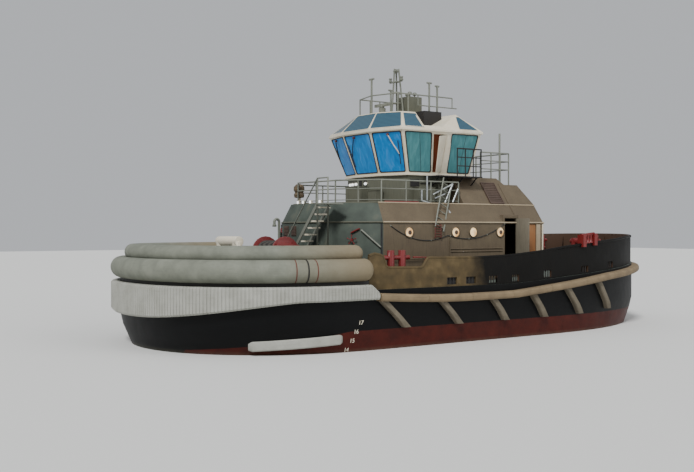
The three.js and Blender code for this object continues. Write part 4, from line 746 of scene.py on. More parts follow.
def build_hull():
    places = [3.0 * i / HULL_STEPS for i in range(HULL_STEPS + 1)]
    places += [-place for place in reversed(places[1:-1])]
    total = len(places)
    rings = [[Vector((*level_plan(z).point(place), z)) for place in places] for z in HULL_HEIGHTS]
    rings.append([Vector((*RIM.point(place), deck_height(RIM.point(place)[0]))) for place in places])
    shape = Shape().loft(rings, caps=False)
    # Strips from port to starboard close the deck and the bottom
    strips = [tuple(dict.fromkeys((i, i + 1, (total - i - 1) % total, (total - i) % total)))
              for i in range(HULL_STEPS)]
    shape.add_faces(strips, len(shape.verts) - total, slot=1)
    shape.add_faces([tuple(reversed(strip)) for strip in strips])
    for side, _ in SIDES:
        shape.turned(DRIVE_PAD, (DRIVE_X, DRIVE_Y * side, 0), sides=40)
    shape.piece("hull_plating", "hull_black", ["hull", "deck"], ["hull_bottom", "hull_topsides"], angle=30)
    softened("skeg", "antifouling", bevel=0.02)


def build_draught_marks(height):
    """Plain figures of weld bead, one foot apart."""
    for side, name in SIDES:
        for i, (x, z, figure) in enumerate(DRAUGHT_MARKS, 1):
            text = bpy.data.curves.new("figure", "FONT")
            text.body = figure
            text.size = height * FONT_SIZE_SHARE
            text.extrude = BEAD_DEPTH
            text.align_x = "CENTER"
            holder = bpy.data.objects.new("figure", text)
            bpy.context.scene.collection.objects.link(holder)
            bpy.context.view_layer.update()
            solid = holder.evaluated_get(bpy.context.evaluated_depsgraph_get())
            mesh = bpy.data.meshes.new_from_object(solid)
            bpy.data.objects.remove(holder)
            low = hull_point(x, z, BEAD_OUT, side)
            up = (hull_point(x, z + height, BEAD_OUT, side) - low).normalized()
            right = Vector((-side, 0, 0))
            out = right.cross(up).normalized()
            mesh.transform(Matrix.Translation(low) @ Matrix((right, up, out)).transposed().to_4x4())
            placed(mesh, f"draught_mark_{name}_{i}", "hull", "white")


RIBBED_TOP, RIBBED_OUT, RIBBED_ROUND = 2.3, 0.33, 0.06
GROOVE = 0.022
# Share of the pitch and depth of each corner of a rib and its groove
RIB = ((0.0, 0.0), (0.62, 0.0), (0.7, GROOVE), (0.92, GROOVE))
# Pieces start this far out from the plating, which they cover
SEAT = 0.001
# Name, node, distance out, height, radius and aft end of each cylinder
CYLINDERS = [("bow_cylinder_lower", "bow_cylinder_fender_lower", -0.04, 2.8, 0.388, 5.9),
             ("bow_cylinder_upper", "bow_cylinder_fender_upper", -0.46, 3.35, 0.298, 6.0)]
CYLINDER_STEP = 0.09
# Size of the last two rings at each end, which is rounded
CYLINDER_END = (0.72, 0.93)
# x, width and slot of each band round the lower cylinder: two of webbing and a dark one between them
BANDS = ((8.75, 0.024, 0), (8.38, 0.036, 1), (8.08, 0.024, 0))
BAND_RADIUS = 0.394


def ribbed_foot(x):
    """The fender's foot drops 0.6 m towards the stem."""
    return 1.78 - 0.6 * max(0.0, (x - 8.5) / (12.15 - 8.5)) ** 1.4


def build_bow_fenders(rib_pitch):
    # Ribs and grooves alternate round the bow, and the last one ends in a slope down to the belt
    end = RIM.place_at(5.65)
    places = even_places(-end, end, rib_pitch)
    rings = []
    for place, following in zip(places, places[1:]):
        for share, depth in RIB:
            at = place + (following - place) * share
            x, _ = RIM.point(at)
            low, top = ribbed_foot(x), RIBBED_TOP - max(0.0, 5.98 - x) * 0.85
            face = RIBBED_OUT - depth
            section = [(SEAT, low), (face - RIBBED_ROUND, low), (face, low + RIBBED_ROUND),
                       (face, (low + top) / 2), (face, top - RIBBED_ROUND), (face - RIBBED_ROUND, top),
                       (SEAT, top)]
            rings.append([Vector((*RIM.out_from(at, out), z)) for out, z in section])
    Shape().loft(rings).piece("ribbed_bow_fender", "fender_pale", "ribbed", ["bow_ribbed_fender"], angle=28)
    for name, node, out, height, radius, end_x in CYLINDERS:
        end = RIM.place_at(end_x)
        places = even_places(-end, end, CYLINDER_STEP)
        rings = []
        for i, place in enumerate(places):
            near = min(i, len(places) - 1 - i)
            shrink = CYLINDER_END[near] if near < len(CYLINDER_END) else 1.0
            dent = 1 + 0.006 * math.sin(i * 0.37)
            rings.append(rim_circle(place, out, height, min(radius, radius * shrink * dent)))
        Shape().loft(rings).piece(name, "fender_grey", "cylinder", [node], angle=50)
    bands = Shape()
    _, _, out, height, _, _ = CYLINDERS[0]
    for x, width, slot in BANDS:
        for side, _ in SIDES:
            place, step = side * RIM.place_at(x), width / 12
            bands.loft([rim_circle(at, out, height, BAND_RADIUS) for at in (place - step, place + step)],
                       caps=False, slot=slot)
    bands.piece("cylinder_bands", "fender_grey", ["strap", "bed"], angle=60)
    # The bed is near-black as painted shade in the gap between the cylinders and the ribbed fender
    softened("bow_fender_bed", "bed", bevel=0.008)
    for _, name in SIDES:
        softened(f"bow_bar_fender_{name}", "ribbed", bevel=0.02)


# x of the upper end, length aft and drop of each diagonal fender
DIAGONALS = [(5.42, 1.15, 1.02), (2.72, 0.94, 0.9), (0.19, 0.77, 0.88), (-1.94, 0.77, 0.96),
             (-3.9, 0.92, 1.11), (-5.95, 0.9, 1.21)]
# Distance along and out of each corner of a diagonal's section, and the reach of its flattened ends
DIAGONAL_SECTION = ((-0.15, -0.02), (-0.15, 0.16), (-0.11, 0.2), (0.11, 0.2), (0.15, 0.16), (0.15, -0.02))
DIAGONAL_STEPS = 8
DIAGONAL_END_OUT = 0.17
BELT_DEPTH, BELT_OUT, BELT_ROUND = 0.275, 0.33, 0.1
BELT_STEP = 0.14
# Steps in one length of belt, about 2.1 m, and the share of its last step before the joint
BELT_LENGTH = 15
BELT_JOINT = 0.92


def belt_top(x):
    """The belt dips 0.17 m amidships, where x is 1.4."""
    share = min(1.0, abs(x - 1.4) / (4.3 if x > 1.4 else 8.0))
    return deck_height(x) - 0.1 - 0.17 * math.cos(share * math.pi / 2)


def build_side_fenders():
    # A D-shaped belt with rounded outer corners
    turns = [math.pi / 2 * k / 4 for k in range(5)]
    arc = [(BELT_OUT - BELT_ROUND + BELT_ROUND * math.sin(turn), -BELT_ROUND + BELT_ROUND * math.cos(turn))
           for turn in turns]
    lower_arc = [(out, -BELT_DEPTH - rise) for out, rise in reversed(arc)]
    profile = [(SEAT, 0.0), *arc, *lower_arc, (SEAT, -BELT_DEPTH)]
    for side, name in SIDES:
        shape = Shape()
        places = even_places(RIM.place_at(5.6) * side, 2.9995 * side, BELT_STEP)
        for first in range(0, len(places) - 1, BELT_LENGTH):
            length = places[first:first + BELT_LENGTH + 1]
            if first + BELT_LENGTH + 1 < len(places):
                length[-1] = length[-2] + (length[-1] - length[-2]) * BELT_JOINT
            shape.loft([[Vector((*RIM.out_from(place, out), belt_top(RIM.point(place)[0]) + rise))
                         for out, rise in profile] for place in length])
        for x, run, drop in DIAGONALS:
            rows = []
            for k in range(DIAGONAL_STEPS + 1):
                share = k / DIAGONAL_STEPS
                z = belt_top(x) - BELT_DEPTH + 0.05 - drop * share
                reach = 1.0 if 0 < k < DIAGONAL_STEPS else DIAGONAL_END_OUT
                rows.append([hull_point(x - run * share + along, z, min(out, reach), side)
                             for along, out in DIAGONAL_SECTION])
            shape.loft(rows, slot=1)
        shape.piece(f"belt_and_diagonals_{name}", "fender_grey", ["belt", "diagonal"],
                    [f"side_fender_{name}"], angle=32)


# x and height of the bulwark's top, from the stern forward
BULWARK_TOP = [(-12.15, 3.93), (-9.0, 3.83), (-5.5, 3.6), (-4.0, 3.47), (-2.6, 3.31), (-1.4, 3.21),
               (-0.6, 3.16), (0.5, 3.13), (1.7, 3.14), (3.25, 3.16), (3.51, 2.81), (5.13, 2.84),
               (5.29, 3.27), (5.65, 3.34), (5.9, 3.26)]
# Centre and width of each freeing port, and those ahead of x 1 have a near-black plate behind them as
# painted shade seen through the port
FREEING_PORTS = [(2.12, 0.48), (1.19, 0.48), (0.06, 0.42), (-1.13, 0.36), (-2.9, 0.42), (-5.2, 0.46),
                 (-7.2, 0.46)]
PLATED_FROM = 1
# Distances out from the rim of a bracket stay's outer edge, toe and head
STAY_OUTER, STAY_TOE, STAY_HEAD = -0.108, -0.42, -0.17
STAY_THICKNESS = 0.012
# Radius and height along a fairlead's roller, and the x of each roller and post
ROLLER = [(0, 0.0), (0.1, 0.0), (0.1, 0.04), (0.07, 0.08), (0.07, 0.3), (0.1, 0.34), (0.1, 0.37), (0, 0.37)]
ROLLERS_X = (-5.25, -5.45, -5.65)
ROLLER_POSTS_X = (-5.06, -5.84)
ROLLER_BAR_X = (-5.0, -5.9)
# The stub rail behind the low part, in x and z
STUB_RAIL_Y = 5.2
STUB_RAIL = ((4.5, 2.835), (3.35, 2.835), (3.16, 3.18), (3.77, 3.19))


def bulwark_top(x):
    for (ax, az), (bx, bz) in zip(BULWARK_TOP, BULWARK_TOP[1:]):
        if x <= bx:
            return az + (bz - az) * max(0.0, (x - ax) / (bx - ax))
    return BULWARK_TOP[-1][1]


def build_bulwarks(stay_spacing):
    for side, name in SIDES:
        softened(f"bulwark_{name}", "bulwark", bevel=0.008)
        # Half-round cap along the top edge
        path = []
        for place in even_places(RIM.place_at(5.88) * side, 2.9999 * side, 0.12):
            x, y = RIM.out_from(place, BULWARK_MIDDLE)
            path.append(Vector((x, y, bulwark_top(x) + 0.004)))
        cap = Shape().tube(path, 0.058, sides=10)
        cap.piece(f"bulwark_cap_{name}", "bulwark_steel", "bulwark", angle=50)
        # Bracket stays inboard, each a plate with a sloping edge
        stays = Shape()
        for place in even_places(RIM.place_at(5.1) * side, 2.93 * side, stay_spacing):
            x, y = RIM.point(place)
            nx, ny = RIM.normal(place)
            tangent = Vector((-ny, nx, 0))
            low, high = deck_height(x) + 0.002, bulwark_top(x) - 0.08
            inner = [(STAY_OUTER, low), (STAY_TOE, low), (STAY_TOE, low + 0.06), (STAY_HEAD, high),
                     (STAY_OUTER, high)]
            middle = [Vector((x + nx * out, y + ny * out, z)) for out, z in inner]
            stays.plate(moved(middle, tangent * (-STAY_THICKNESS / 2)), tangent * STAY_THICKNESS)
        stays.piece(f"bulwark_stays_{name}", "bulwark_steel", "bulwark", angle=30)
        # Two upright bars across each freeing port
        bars = Shape()
        for x, width in FREEING_PORTS:
            # A near-black plate behind each forward port paints the shade seen through it
            if x > PLATED_FROM:
                px, py = rim_point(x, side, -0.1)
                bars.block((px - width / 2, py - 0.008, DECK + 0.05),
                           (px + width / 2, py + 0.008, DECK + 0.36))
            for k in (-1, 1):
                at = rim_point(x + k * width / 6, side)
                bars.bar((*at, deck_height(x) + 0.06), (*at, deck_height(x) + 0.34), 0.022, 8)
        bars.piece(f"port_bars_{name}", "dark_steel", "dark", angle=40)
        # A red stub rail stands behind the low part, and a red roller fairlead over the aft part
        reds = Shape()
        reds.tube([(x, side * STUB_RAIL_Y, z) for x, z in STUB_RAIL], 0.03)
        for x in (4.5, 3.4):
            reds.bar((x, side * STUB_RAIL_Y, 2.84), (x, side * 5.36, 2.7), 0.022, 8)
        for x in ROLLER_POSTS_X:
            px, py = rim_point(x, side)
            reds.block((px - 0.09, py - 0.16, bulwark_top(x) - 0.1),
                       (px + 0.09, py + 0.16, bulwark_top(x) + 0.4))
        for x in ROLLERS_X:
            reds.turned(ROLLER, (*rim_point(x, side), bulwark_top(x) + 0.02), sides=18)
        first, last = [(*rim_point(x, side), bulwark_top(x) + 0.39) for x in ROLLER_BAR_X]
        reds.bar(first, last, 0.055)
        reds.piece(f"bulwark_fairlead_{name}", "fitting_red", "red", angle=40)


# x of each porthole in the side of the deckhouse, and the one whose deadlight is open
PORTHOLES = [2.67, 0.33, -0.6, -2.08]
PORTHOLE_Z = 4.08
OPEN_PORTHOLE = -0.6
DEADLIGHT = [(0, 0.0), (0.085, 0.0), (0.085, 0.03), (0.06, 0.04), (0, 0.042)]
# The eave from port aft round the front, the edge of the deck above it, and the runs with one paint each
EAVE_LINE = [(-4.6, 3.6), (3.9, 3.6), (4.95, 1.8), (4.95, -1.8), (3.9, -3.6), (-4.6, -3.6)]
EDGE_LINE = [(-4.6, 3.067), (3.74, 3.067), (4.55, 1.584), (4.55, -1.584), (3.74, -3.067), (-4.6, -3.067)]
EAVE_RUNS = ((0, 2, 0), (1, 5, 1), (4, 6, 0))
LOUVRES, LOUVRE_PITCH = 11, 0.075
# Aft end, foot, fore end and head of the louvres' opening, and the width of the frame round it
LOUVRE_OPENING = (-2.81, 5.27, -2.11, 6.08)
LOUVRE_FRAME = 0.04
# Square to the sloping side of the casing, for the port side
CASING_OUT = (0, 0.8115, 0.5843)


def louvre_outline(side, grow):
    aft, foot, fore, head = LOUVRE_OPENING
    corners = ((aft - grow, foot - grow), (fore + grow, foot - grow), (fore + grow, head + grow),
               (aft - grow, head + grow))
    return [Vector((x, casing_y(z, side), z)) for x, z in corners]


def build_deckhouse(porthole_radius):
    for node in ("deckhouse", "engine_casing"):
        softened(node, "house", bevel=0.012)
    softened("wheelhouse_trunk", "trunk", bevel=0.01)
    rims, panes, lights = Shape(), Shape(), Shape()
    r = porthole_radius
    rim = [(r + 0.03, -0.01), (r + 0.03, 0.035), (r + 0.045, 0.045), (r + 0.07, 0.03), (r + 0.08, -0.01)]
    pane = [(0, -0.012), (r + 0.032, -0.012), (r + 0.032, 0.016), (0.07, 0.02), (0, 0.02)]
    for side, _ in SIDES:
        for x in PORTHOLES:
            centre, axis = (x, side * HOUSE_SIDE, PORTHOLE_Z), (0, side, 0)
            rims.turned(rim, centre, axis, sides=36)
            # The lit collar shows round a dark deadlight, which is open at one port
            panes.turned(pane, centre, axis, sides=36)
            if x != OPEN_PORTHOLE:
                lights.turned(DEADLIGHT, (x - 0.03, side * HOUSE_SIDE, PORTHOLE_Z - 0.01), axis, sides=28)
    rims.piece("porthole_rims", "house_primer", "house", angle=40)
    lights.piece("porthole_deadlights", "brown_door", "louvre", angle=40)
    panes.piece("porthole_panes", "window_film", "lit", angle=40)
    # Gutter along the eave and round the front, and a moulding along the edge of the deck above
    trim = Shape()
    # The side runs are in the pale eave paint, a painted highlight; the front run is grey-green
    for first, last, slot in EAVE_RUNS:
        trim.tube([(x * 1.002, y * 1.004, EAVE) for x, y in EAVE_LINE[first:last]], 0.032, slot=slot)
        trim.tube([(x, y, UPPER_DECK + 0.005) for x, y in EDGE_LINE[first:last]], 0.028, slot=slot)
    trim.piece("house_gutters", "house_primer", ["eave", "trunk"], angle=50)
    # Red rungs on the side, up to the foot of the ladder
    rungs = Shape()
    for side, _ in SIDES:
        wall, stand = side * (HOUSE_SIDE - 0.002), side * (HOUSE_SIDE + 0.07)
        for x in (1.13, 1.43):
            rungs.tube([(x, wall, 4.38), (x, stand, 4.38), (x, stand, 3.86), (x, wall, 3.86)], 0.018)
        for k in range(5):
            rungs.bar((1.13, stand, 3.92 + k * 0.1), (1.43, stand, 3.92 + k * 0.1), 0.016, 8)
    rungs.piece("side_rungs", "fitting_red", "dull_red", angle=50)
    for node, paint in (("deckhouse_door_port", "door"), ("deckhouse_door_starboard", "door"),
                        ("deckhouse_aft_door_port", "brown")):
        softened(node, paint, bevel=0.008)
    build_casing_trim()


def build_casing_trim():
    louvres, straps = Shape(), Shape()
    aft, _, fore, _ = LOUVRE_OPENING
    for side, _ in SIDES:
        for k in range(LOUVRES):
            z = 5.29 + k * LOUVRE_PITCH
            y = casing_y(z, side)
            low, high = y + side * 0.045, y + side * 0.002
            louvres.plate([(aft, high, z + 0.05), (fore, high, z + 0.05), (fore, low, z), (aft, low, z)],
                          (0, 0, 0.01))
        louvres.frame_ring(louvre_outline(side, LOUVRE_FRAME), louvre_outline(side, 0),
                           (0, side * 0.05, 0.03))
        # A flat bar runs down each slope of the casing behind the louvres
        out = Vector((0, side * CASING_OUT[1], CASING_OUT[2]))
        outline = [Vector((x, casing_y(z, side), z))
                   for x, z in ((-3.19, 4.6), (-3.11, 4.6), (-3.11, 6.1), (-3.19, 6.1))]
        straps.plate(moved(outline, out * -0.003), out * 0.022)
        # Pale panel, lightened as a painted highlight, and white post at the house's aft corner
        low, high = sorted((side * (HOUSE_SIDE - 0.003), side * (HOUSE_SIDE + 0.012)))
        straps.block((-4.42, low, 2.6), (-4.18, high, 4.4), slot=1)
        post = side * (HOUSE_SIDE + 0.028)
        straps.bar((-4.53, post, 2.6), (-4.53, post, 4.4), 0.034, slot=2)
    louvres.piece("casing_louvres", "house_primer", "louvre", angle=30)
    straps.piece("casing_and_corner_trim", "house_primer", ["house", "eave", "white"], angle=40)


# The work cable's two bights: start, end, height at the start, rise and sag of each
CABLE_BIGHTS = ((3.56, 0.72, 4.33, -0.37, 0.36), (0.72, -2.32, 3.96, 0.45, 0.33))
CABLE_STEPS = 48
CLIP_EVERY = 8
# Directions out of and along the slanted wall at the house's port front corner
FRONT_OUT = Vector((0.864, 0.504, 0))
FRONT_ALONG = Vector((-0.504, 0.864, 0))
VALVE_HUB = Vector((4.52, 2.54, 3.79))
VALVE_KNOB = [(0, -0.03), (0.026, -0.02), (0.03, 0), (0.026, 0.02), (0, 0.03)]
FRONT_VENTS_Y = (-1.52, -0.95)
# Ends of each bar of the welded frame, all in one upright plane but the last
DAVIT_BARS = (((-0.05, 3.0, 6.0), (1.0, 3.0, 5.55)), ((0.9, 3.0, 5.4), (0.35, 3.0, 5.6)),
              ((-0.05, 3.0, 6.0), (0.35, 3.0, 5.25)), ((-0.33, 3.0, 5.8), (-0.05, 3.0, 5.27)),
              ((1.55, 3.0, 5.3), (0.2, 3.0, 5.06)), ((0.35, 3.0, 5.25), (0.25, 3.0, 5.08)),
              ((1.28, 3.0, 6.28), (1.28, 3.0, 5.32)), ((1.55, 3.0, 5.72), (1.55, 3.0, 5.3)),
              ((0.36, 3.02, 5.14), (0.36, 3.33, 4.82)))


def braced(shape, start, end, radius, stand, foot_radius, foot_sides):
    """A bar that stands off the slanted front wall on a stub at each end."""
    start, end = Vector(start), Vector(end)
    shape.bar(start + FRONT_OUT * 0.05, end + FRONT_OUT * 0.05, radius)
    for point in (start, end):
        shape.bar(point - FRONT_OUT * 0.01, point + FRONT_OUT * stand, foot_radius, foot_sides)


def build_side_fittings():
    wall = HOUSE_SIDE
    cable, clips, pipes, reds, pale = [Shape() for _ in range(5)]
    # A work cable hangs along the wall in two bights, clipped to it
    path = []
    first, last = CABLE_BIGHTS[0][0], CABLE_BIGHTS[1][1]
    for k in range(CABLE_STEPS + 1):
        x = first - (first - last) * k / CABLE_STEPS
        start, end, height, rise, sag = CABLE_BIGHTS[0 if x > CABLE_BIGHTS[1][0] else 1]
        share = (start - x) / (start - end)
        path.append((x, wall + 0.017, height + rise * share - sag * 4 * share * (1 - share)))
    cable.tube(path, 0.015)
    # A near-black upright bar at the front corner, a hose bundle that also paints the shadow down that
    # corner
    cable.bar((3.94, wall - 0.04, 2.9), (3.94, wall - 0.04, 4.4), 0.036)
    for x, _, z in path[::CLIP_EVERY]:
        clips.block((x - 0.014, wall - 0.002, z - 0.026), (x + 0.014, wall + 0.038, z + 0.026))
    # Two service pipes with a riser, and a storm rail on stubs below them
    for z in (3.42, 3.31):
        pipes.tube([(0.63, wall + 0.014, z), (-2.2, wall + 0.014, z)], 0.017)
    pipes.tube([(0.63, wall + 0.02, DECK + 0.005), (0.63, wall + 0.02, 3.86)], 0.024)
    pipes.tube([(3.7, wall + 0.08, 3.08), (-2.2, wall + 0.08, 3.08)], 0.019)
    for k in range(8):
        x = 3.6 - k * 0.82
        pipes.bar((x, wall - 0.002, 3.08), (x, wall + 0.08, 3.08), 0.012, 8)
    # Valve wheel with knobs, and flat braces on the slanted front
    reds.bar(VALVE_HUB - FRONT_OUT * 0.03, VALVE_HUB + FRONT_OUT * 0.15, 0.03, 12)
    rim = VALVE_HUB + FRONT_OUT * 0.13
    for k in range(5):
        turn = math.radians(18 + 72 * k)
        arm = FRONT_ALONG * math.cos(turn) + UP * math.sin(turn)
        reds.bar(rim, rim + arm * 0.17, 0.02, 8, end_radius=0.012)
        reds.turned(VALVE_KNOB, rim + arm * 0.17, arm, sides=12)
    braced(reds, (4.55, 2.49, 4.06), (4.38, 2.78, 4.21), 0.03, 0.05, 0.02, 8)
    braced(pale, (4.33, 2.86, 4.16), (3.94, 3.53, 3.53), 0.035, 0.06, 0.03, 10)
    # Louvred vents on the front wall
    front = Shape()
    for y in FRONT_VENTS_Y:
        front.block((4.93, y - 0.18, 3.92), (4.965, y + 0.18, 4.32))
        for k in range(6):
            z = 3.95 + k * 0.06
            front.plate([(4.962, y - 0.16, z + 0.035), (4.962, y + 0.16, z + 0.035),
                         (4.99, y + 0.16, z), (4.99, y - 0.16, z)], (0, 0, 0.008))
    front.piece("front_vents", "dark_steel", "louvre", angle=30)
    for shape, name, slot, paint in ((cable, "work_cable_and_corner_shade", "dark_steel", "gasket"),
                                     (clips, "cable_clips", "grey_steel", "grey"),
                                     (pipes, "side_pipes", "house_primer", "house"),
                                     (reds, "valve_wheels", "fitting_red", "red"),
                                     (pale, "front_braces", "grey_steel", "grey")):
        shape.both_sides().piece(name, slot, paint, angle=50)
    # A welded frame for a boat's davit stands over the port eave
    davit = Shape()
    for bar in DAVIT_BARS:
        davit.tube(bar, 0.036)
    davit.block((-0.3, 2.97, 5.08), (1.6, 3.03, 5.16))
    davit.piece("davit_frame", "aluminium", "aluminium", angle=50)


MONITOR = (4.28, -1.62, UPPER_DECK)
MONITOR_FOOT = [(0.16, 0), (0.16, 0.03), (0.07, 0.05), (0.07, 0.3)]
MONITOR_HOOD = [(0.1, 0.28), (0.2, 0.3), (0.22, 0.42), (0.17, 0.5), (0.23, 0.6), (0.22, 0.74), (0.12, 0.84),
                (0, 0.86)]
FLOODLIGHTS_Y = (-1.32, -0.93, -0.4, 0.3)
SMALL_LAMPS_Y = (-1.5, -1.18, -0.78, -0.1)
SMALL_LAMP = [(0.04, -0.04), (0.055, 0.0), (0.05, 0.05), (0, 0.06)]
BULKHEAD_LAMP = [(0.06, 0), (0.06, 0.03), (0.04, 0.06), (0, 0.07)]
# x and y of the port half of the bar at the foot of the deck rail
FOOT_BAR = ((4.5, 0), (4.5, 1.35), (3.45, 2.9), (-0.45, 2.9))
# Foremost x of the trunk, half width of its flat front and how fast its sides fall back
TRUNK_FRONT, TRUNK_FLAT, TRUNK_RAKE = 1.9, 0.74, 0.298
# Low corner, high corner without the lid of each locker ahead of the trunk
FRONT_LOCKERS = (((1.93, -1.0, UPPER_DECK), (2.36, 0.05, 5.92)),
                 ((1.93, 0.5, UPPER_DECK), (2.3, 1.0, 5.75)))
# Aft end, fore end and top of each locker beside it
SIDE_LOCKERS = ((0.35, 1.2, 5.86), (-0.3, 0.2, 6.0))
# Centre of the back of each lifebuoy and the way it faces
LIFEBUOYS = (((0.0, -2.96, 5.74), (0, -1, 0)), ((-4.6, -1.9, 3.9), (-1, 0, 0)),
             ((-4.6, 2.2, 3.9), (-1, 0, 0)))
BUOY_RADIUS = 0.29
BUOY_MIDDLE = 0.075
GRAB_BAND = [(0.05, -0.03), (0.077, -0.03), (0.077, 0.03), (0.05, 0.03)]


def build_upper_deck_fittings():
    reds, hood, pale, lamps, rings, green, dark, rail = [Shape() for _ in range(8)]
    # Fire monitor under a moulded hood at the front corner
    pale.turned(MONITOR_FOOT, MONITOR)
    hood.turned(MONITOR_HOOD, MONITOR, sides=28)
    # Low floodlights along the front edge, and four small ones under the wheelhouse's front
    for y in FLOODLIGHTS_Y:
        pale.block((4.46, y - 0.075, UPPER_DECK), (4.535, y + 0.075, UPPER_DECK + 0.15))
        lamps.block((4.535, y - 0.06, UPPER_DECK + 0.02), (4.54, y + 0.06, UPPER_DECK + 0.135))
    for y in SMALL_LAMPS_Y:
        x = TRUNK_FRONT - max(0.0, abs(y) - TRUNK_FLAT) * TRUNK_RAKE
        pale.block((x - 0.02, y - 0.03, 6.08), (x + 0.1, y + 0.03, 6.14))
        lamps.turned(SMALL_LAMP, (x + 0.09, y, 6.07), (1, 0, 0), sides=16)
    # Bulkhead lamp, dark cable hatches and pipes on the trunk
    lamps.turned(BULKHEAD_LAMP, (TRUNK_FRONT, 0.34, 5.6), (1, 0, 0), sides=20)
    for y in (-0.68, -0.33):
        dark.block((TRUNK_FRONT - 0.01, y, 5.95), (TRUNK_FRONT + 0.02, y + 0.2, 6.28))
    for side, _ in SIDES:
        low, high = sorted((side * 2.045, side * 2.075))
        dark.block((0.9, low, 5.9), (1.35, high, 6.2))
        for z in (6.05, 6.16):
            dark.bar((0.85, side * 2.072, z), (-0.55, side * 2.072, z), 0.018, 8)
        # Foot bar of the deck rail
        rail.tube([(x, side * y, 5.32) for x, y in FOOT_BAR], 0.017)
    # Lockers against the trunk, with lids
    for low, high in FRONT_LOCKERS:
        green.block(low, high)
        green.block((low[0] - 0.015, low[1] - 0.02, high[2]),
                    (high[0] + 0.02, high[1] + 0.02, high[2] + 0.035))
    for side, _ in SIDES:
        low, high = sorted((side * 2.07, side * 2.42))
        for aft, fore, top in SIDE_LOCKERS:
            green.block((aft, low, UPPER_DECK), (fore, high, top))
            green.block((aft - 0.02, low, top), (fore + 0.02, high, top + 0.03))
        # Red fire main along the deck edge
        reds.tube([(x, side * 2.98, UPPER_DECK + 0.04) for x in (3.35, 1.7)], 0.036, 10)
    # Lifebuoys hang on the rail and the aft wall, with grab bands round them
    turns = [2 * math.pi * k / 12 for k in range(13)]
    section = [(BUOY_RADIUS + 0.07 * math.cos(turn), BUOY_MIDDLE + 0.045 * math.sin(turn))
               for turn in turns]
    for centre, axis in LIFEBUOYS:
        centre, axis = Vector(centre), Vector(axis)
        rings.turned(section, centre, axis, sides=32, caps=False)
        u, v = crosswise(axis)
        for k in range(4):
            turn = math.pi / 4 + math.pi / 2 * k
            way = u * math.cos(turn) + v * math.sin(turn)
            middle = centre + axis * BUOY_MIDDLE + way * BUOY_RADIUS
            dark.turned(GRAB_BAND, middle, way.cross(axis), sides=16)
    for shape, name, slot, paint in ((reds, "fire_main", "fitting_red", "red"),
                                     (hood, "monitor_hood", "brown_door", "hood"),
                                     (pale, "lamp_posts", "white_paint", "white"),
                                     (lamps, "lamp_lenses", "white_paint", "lamp"),
                                     (rings, "lifebuoys", "fitting_red", "buoy"),
                                     (dark, "trunk_fittings", "dark_steel", "dark"),
                                     (rail, "rail_foot_bar", "grey_steel", "grey"),
                                     (green, "deck_lockers", "house_primer", "trunk")):
        shape.piece(name, slot, paint, angle=40, bevel=0.004)


# Centre, width and length of each hatch
HATCHES = ((-6.1, -2.1, 0.75, 0.75), (-8.6, 0.0, 1.0, 1.3), (9.6, 0.0, 0.8, 0.9))
# Foot and rise of each gooseneck vent, and the radius of its bend
VENTS = ((-5.2, 2.9, 0.75), (-5.2, -2.9, 0.75), (5.42, -1.33, 2.4), (7.4, 3.3, 0.75), (7.4, -3.3, 0.75))
VENT_BEND = 0.11
VENT_MOUTH = [(0.075, -0.03), (0.085, 0), (0.085, 0.05), (0.06, 0.07)]
VENT_FOOT = [(0.11, 0), (0.11, 0.02), (0.07, 0.03)]
AFT_LADDER_X, AFT_LADDER_Y = -4.75, (-1.2, -0.8)
EXTINGUISHER = [(0, 0), (0.075, 0.01), (0.08, 0.05), (0.08, 0.42), (0.04, 0.5), (0.025, 0.56), (0, 0.57)]


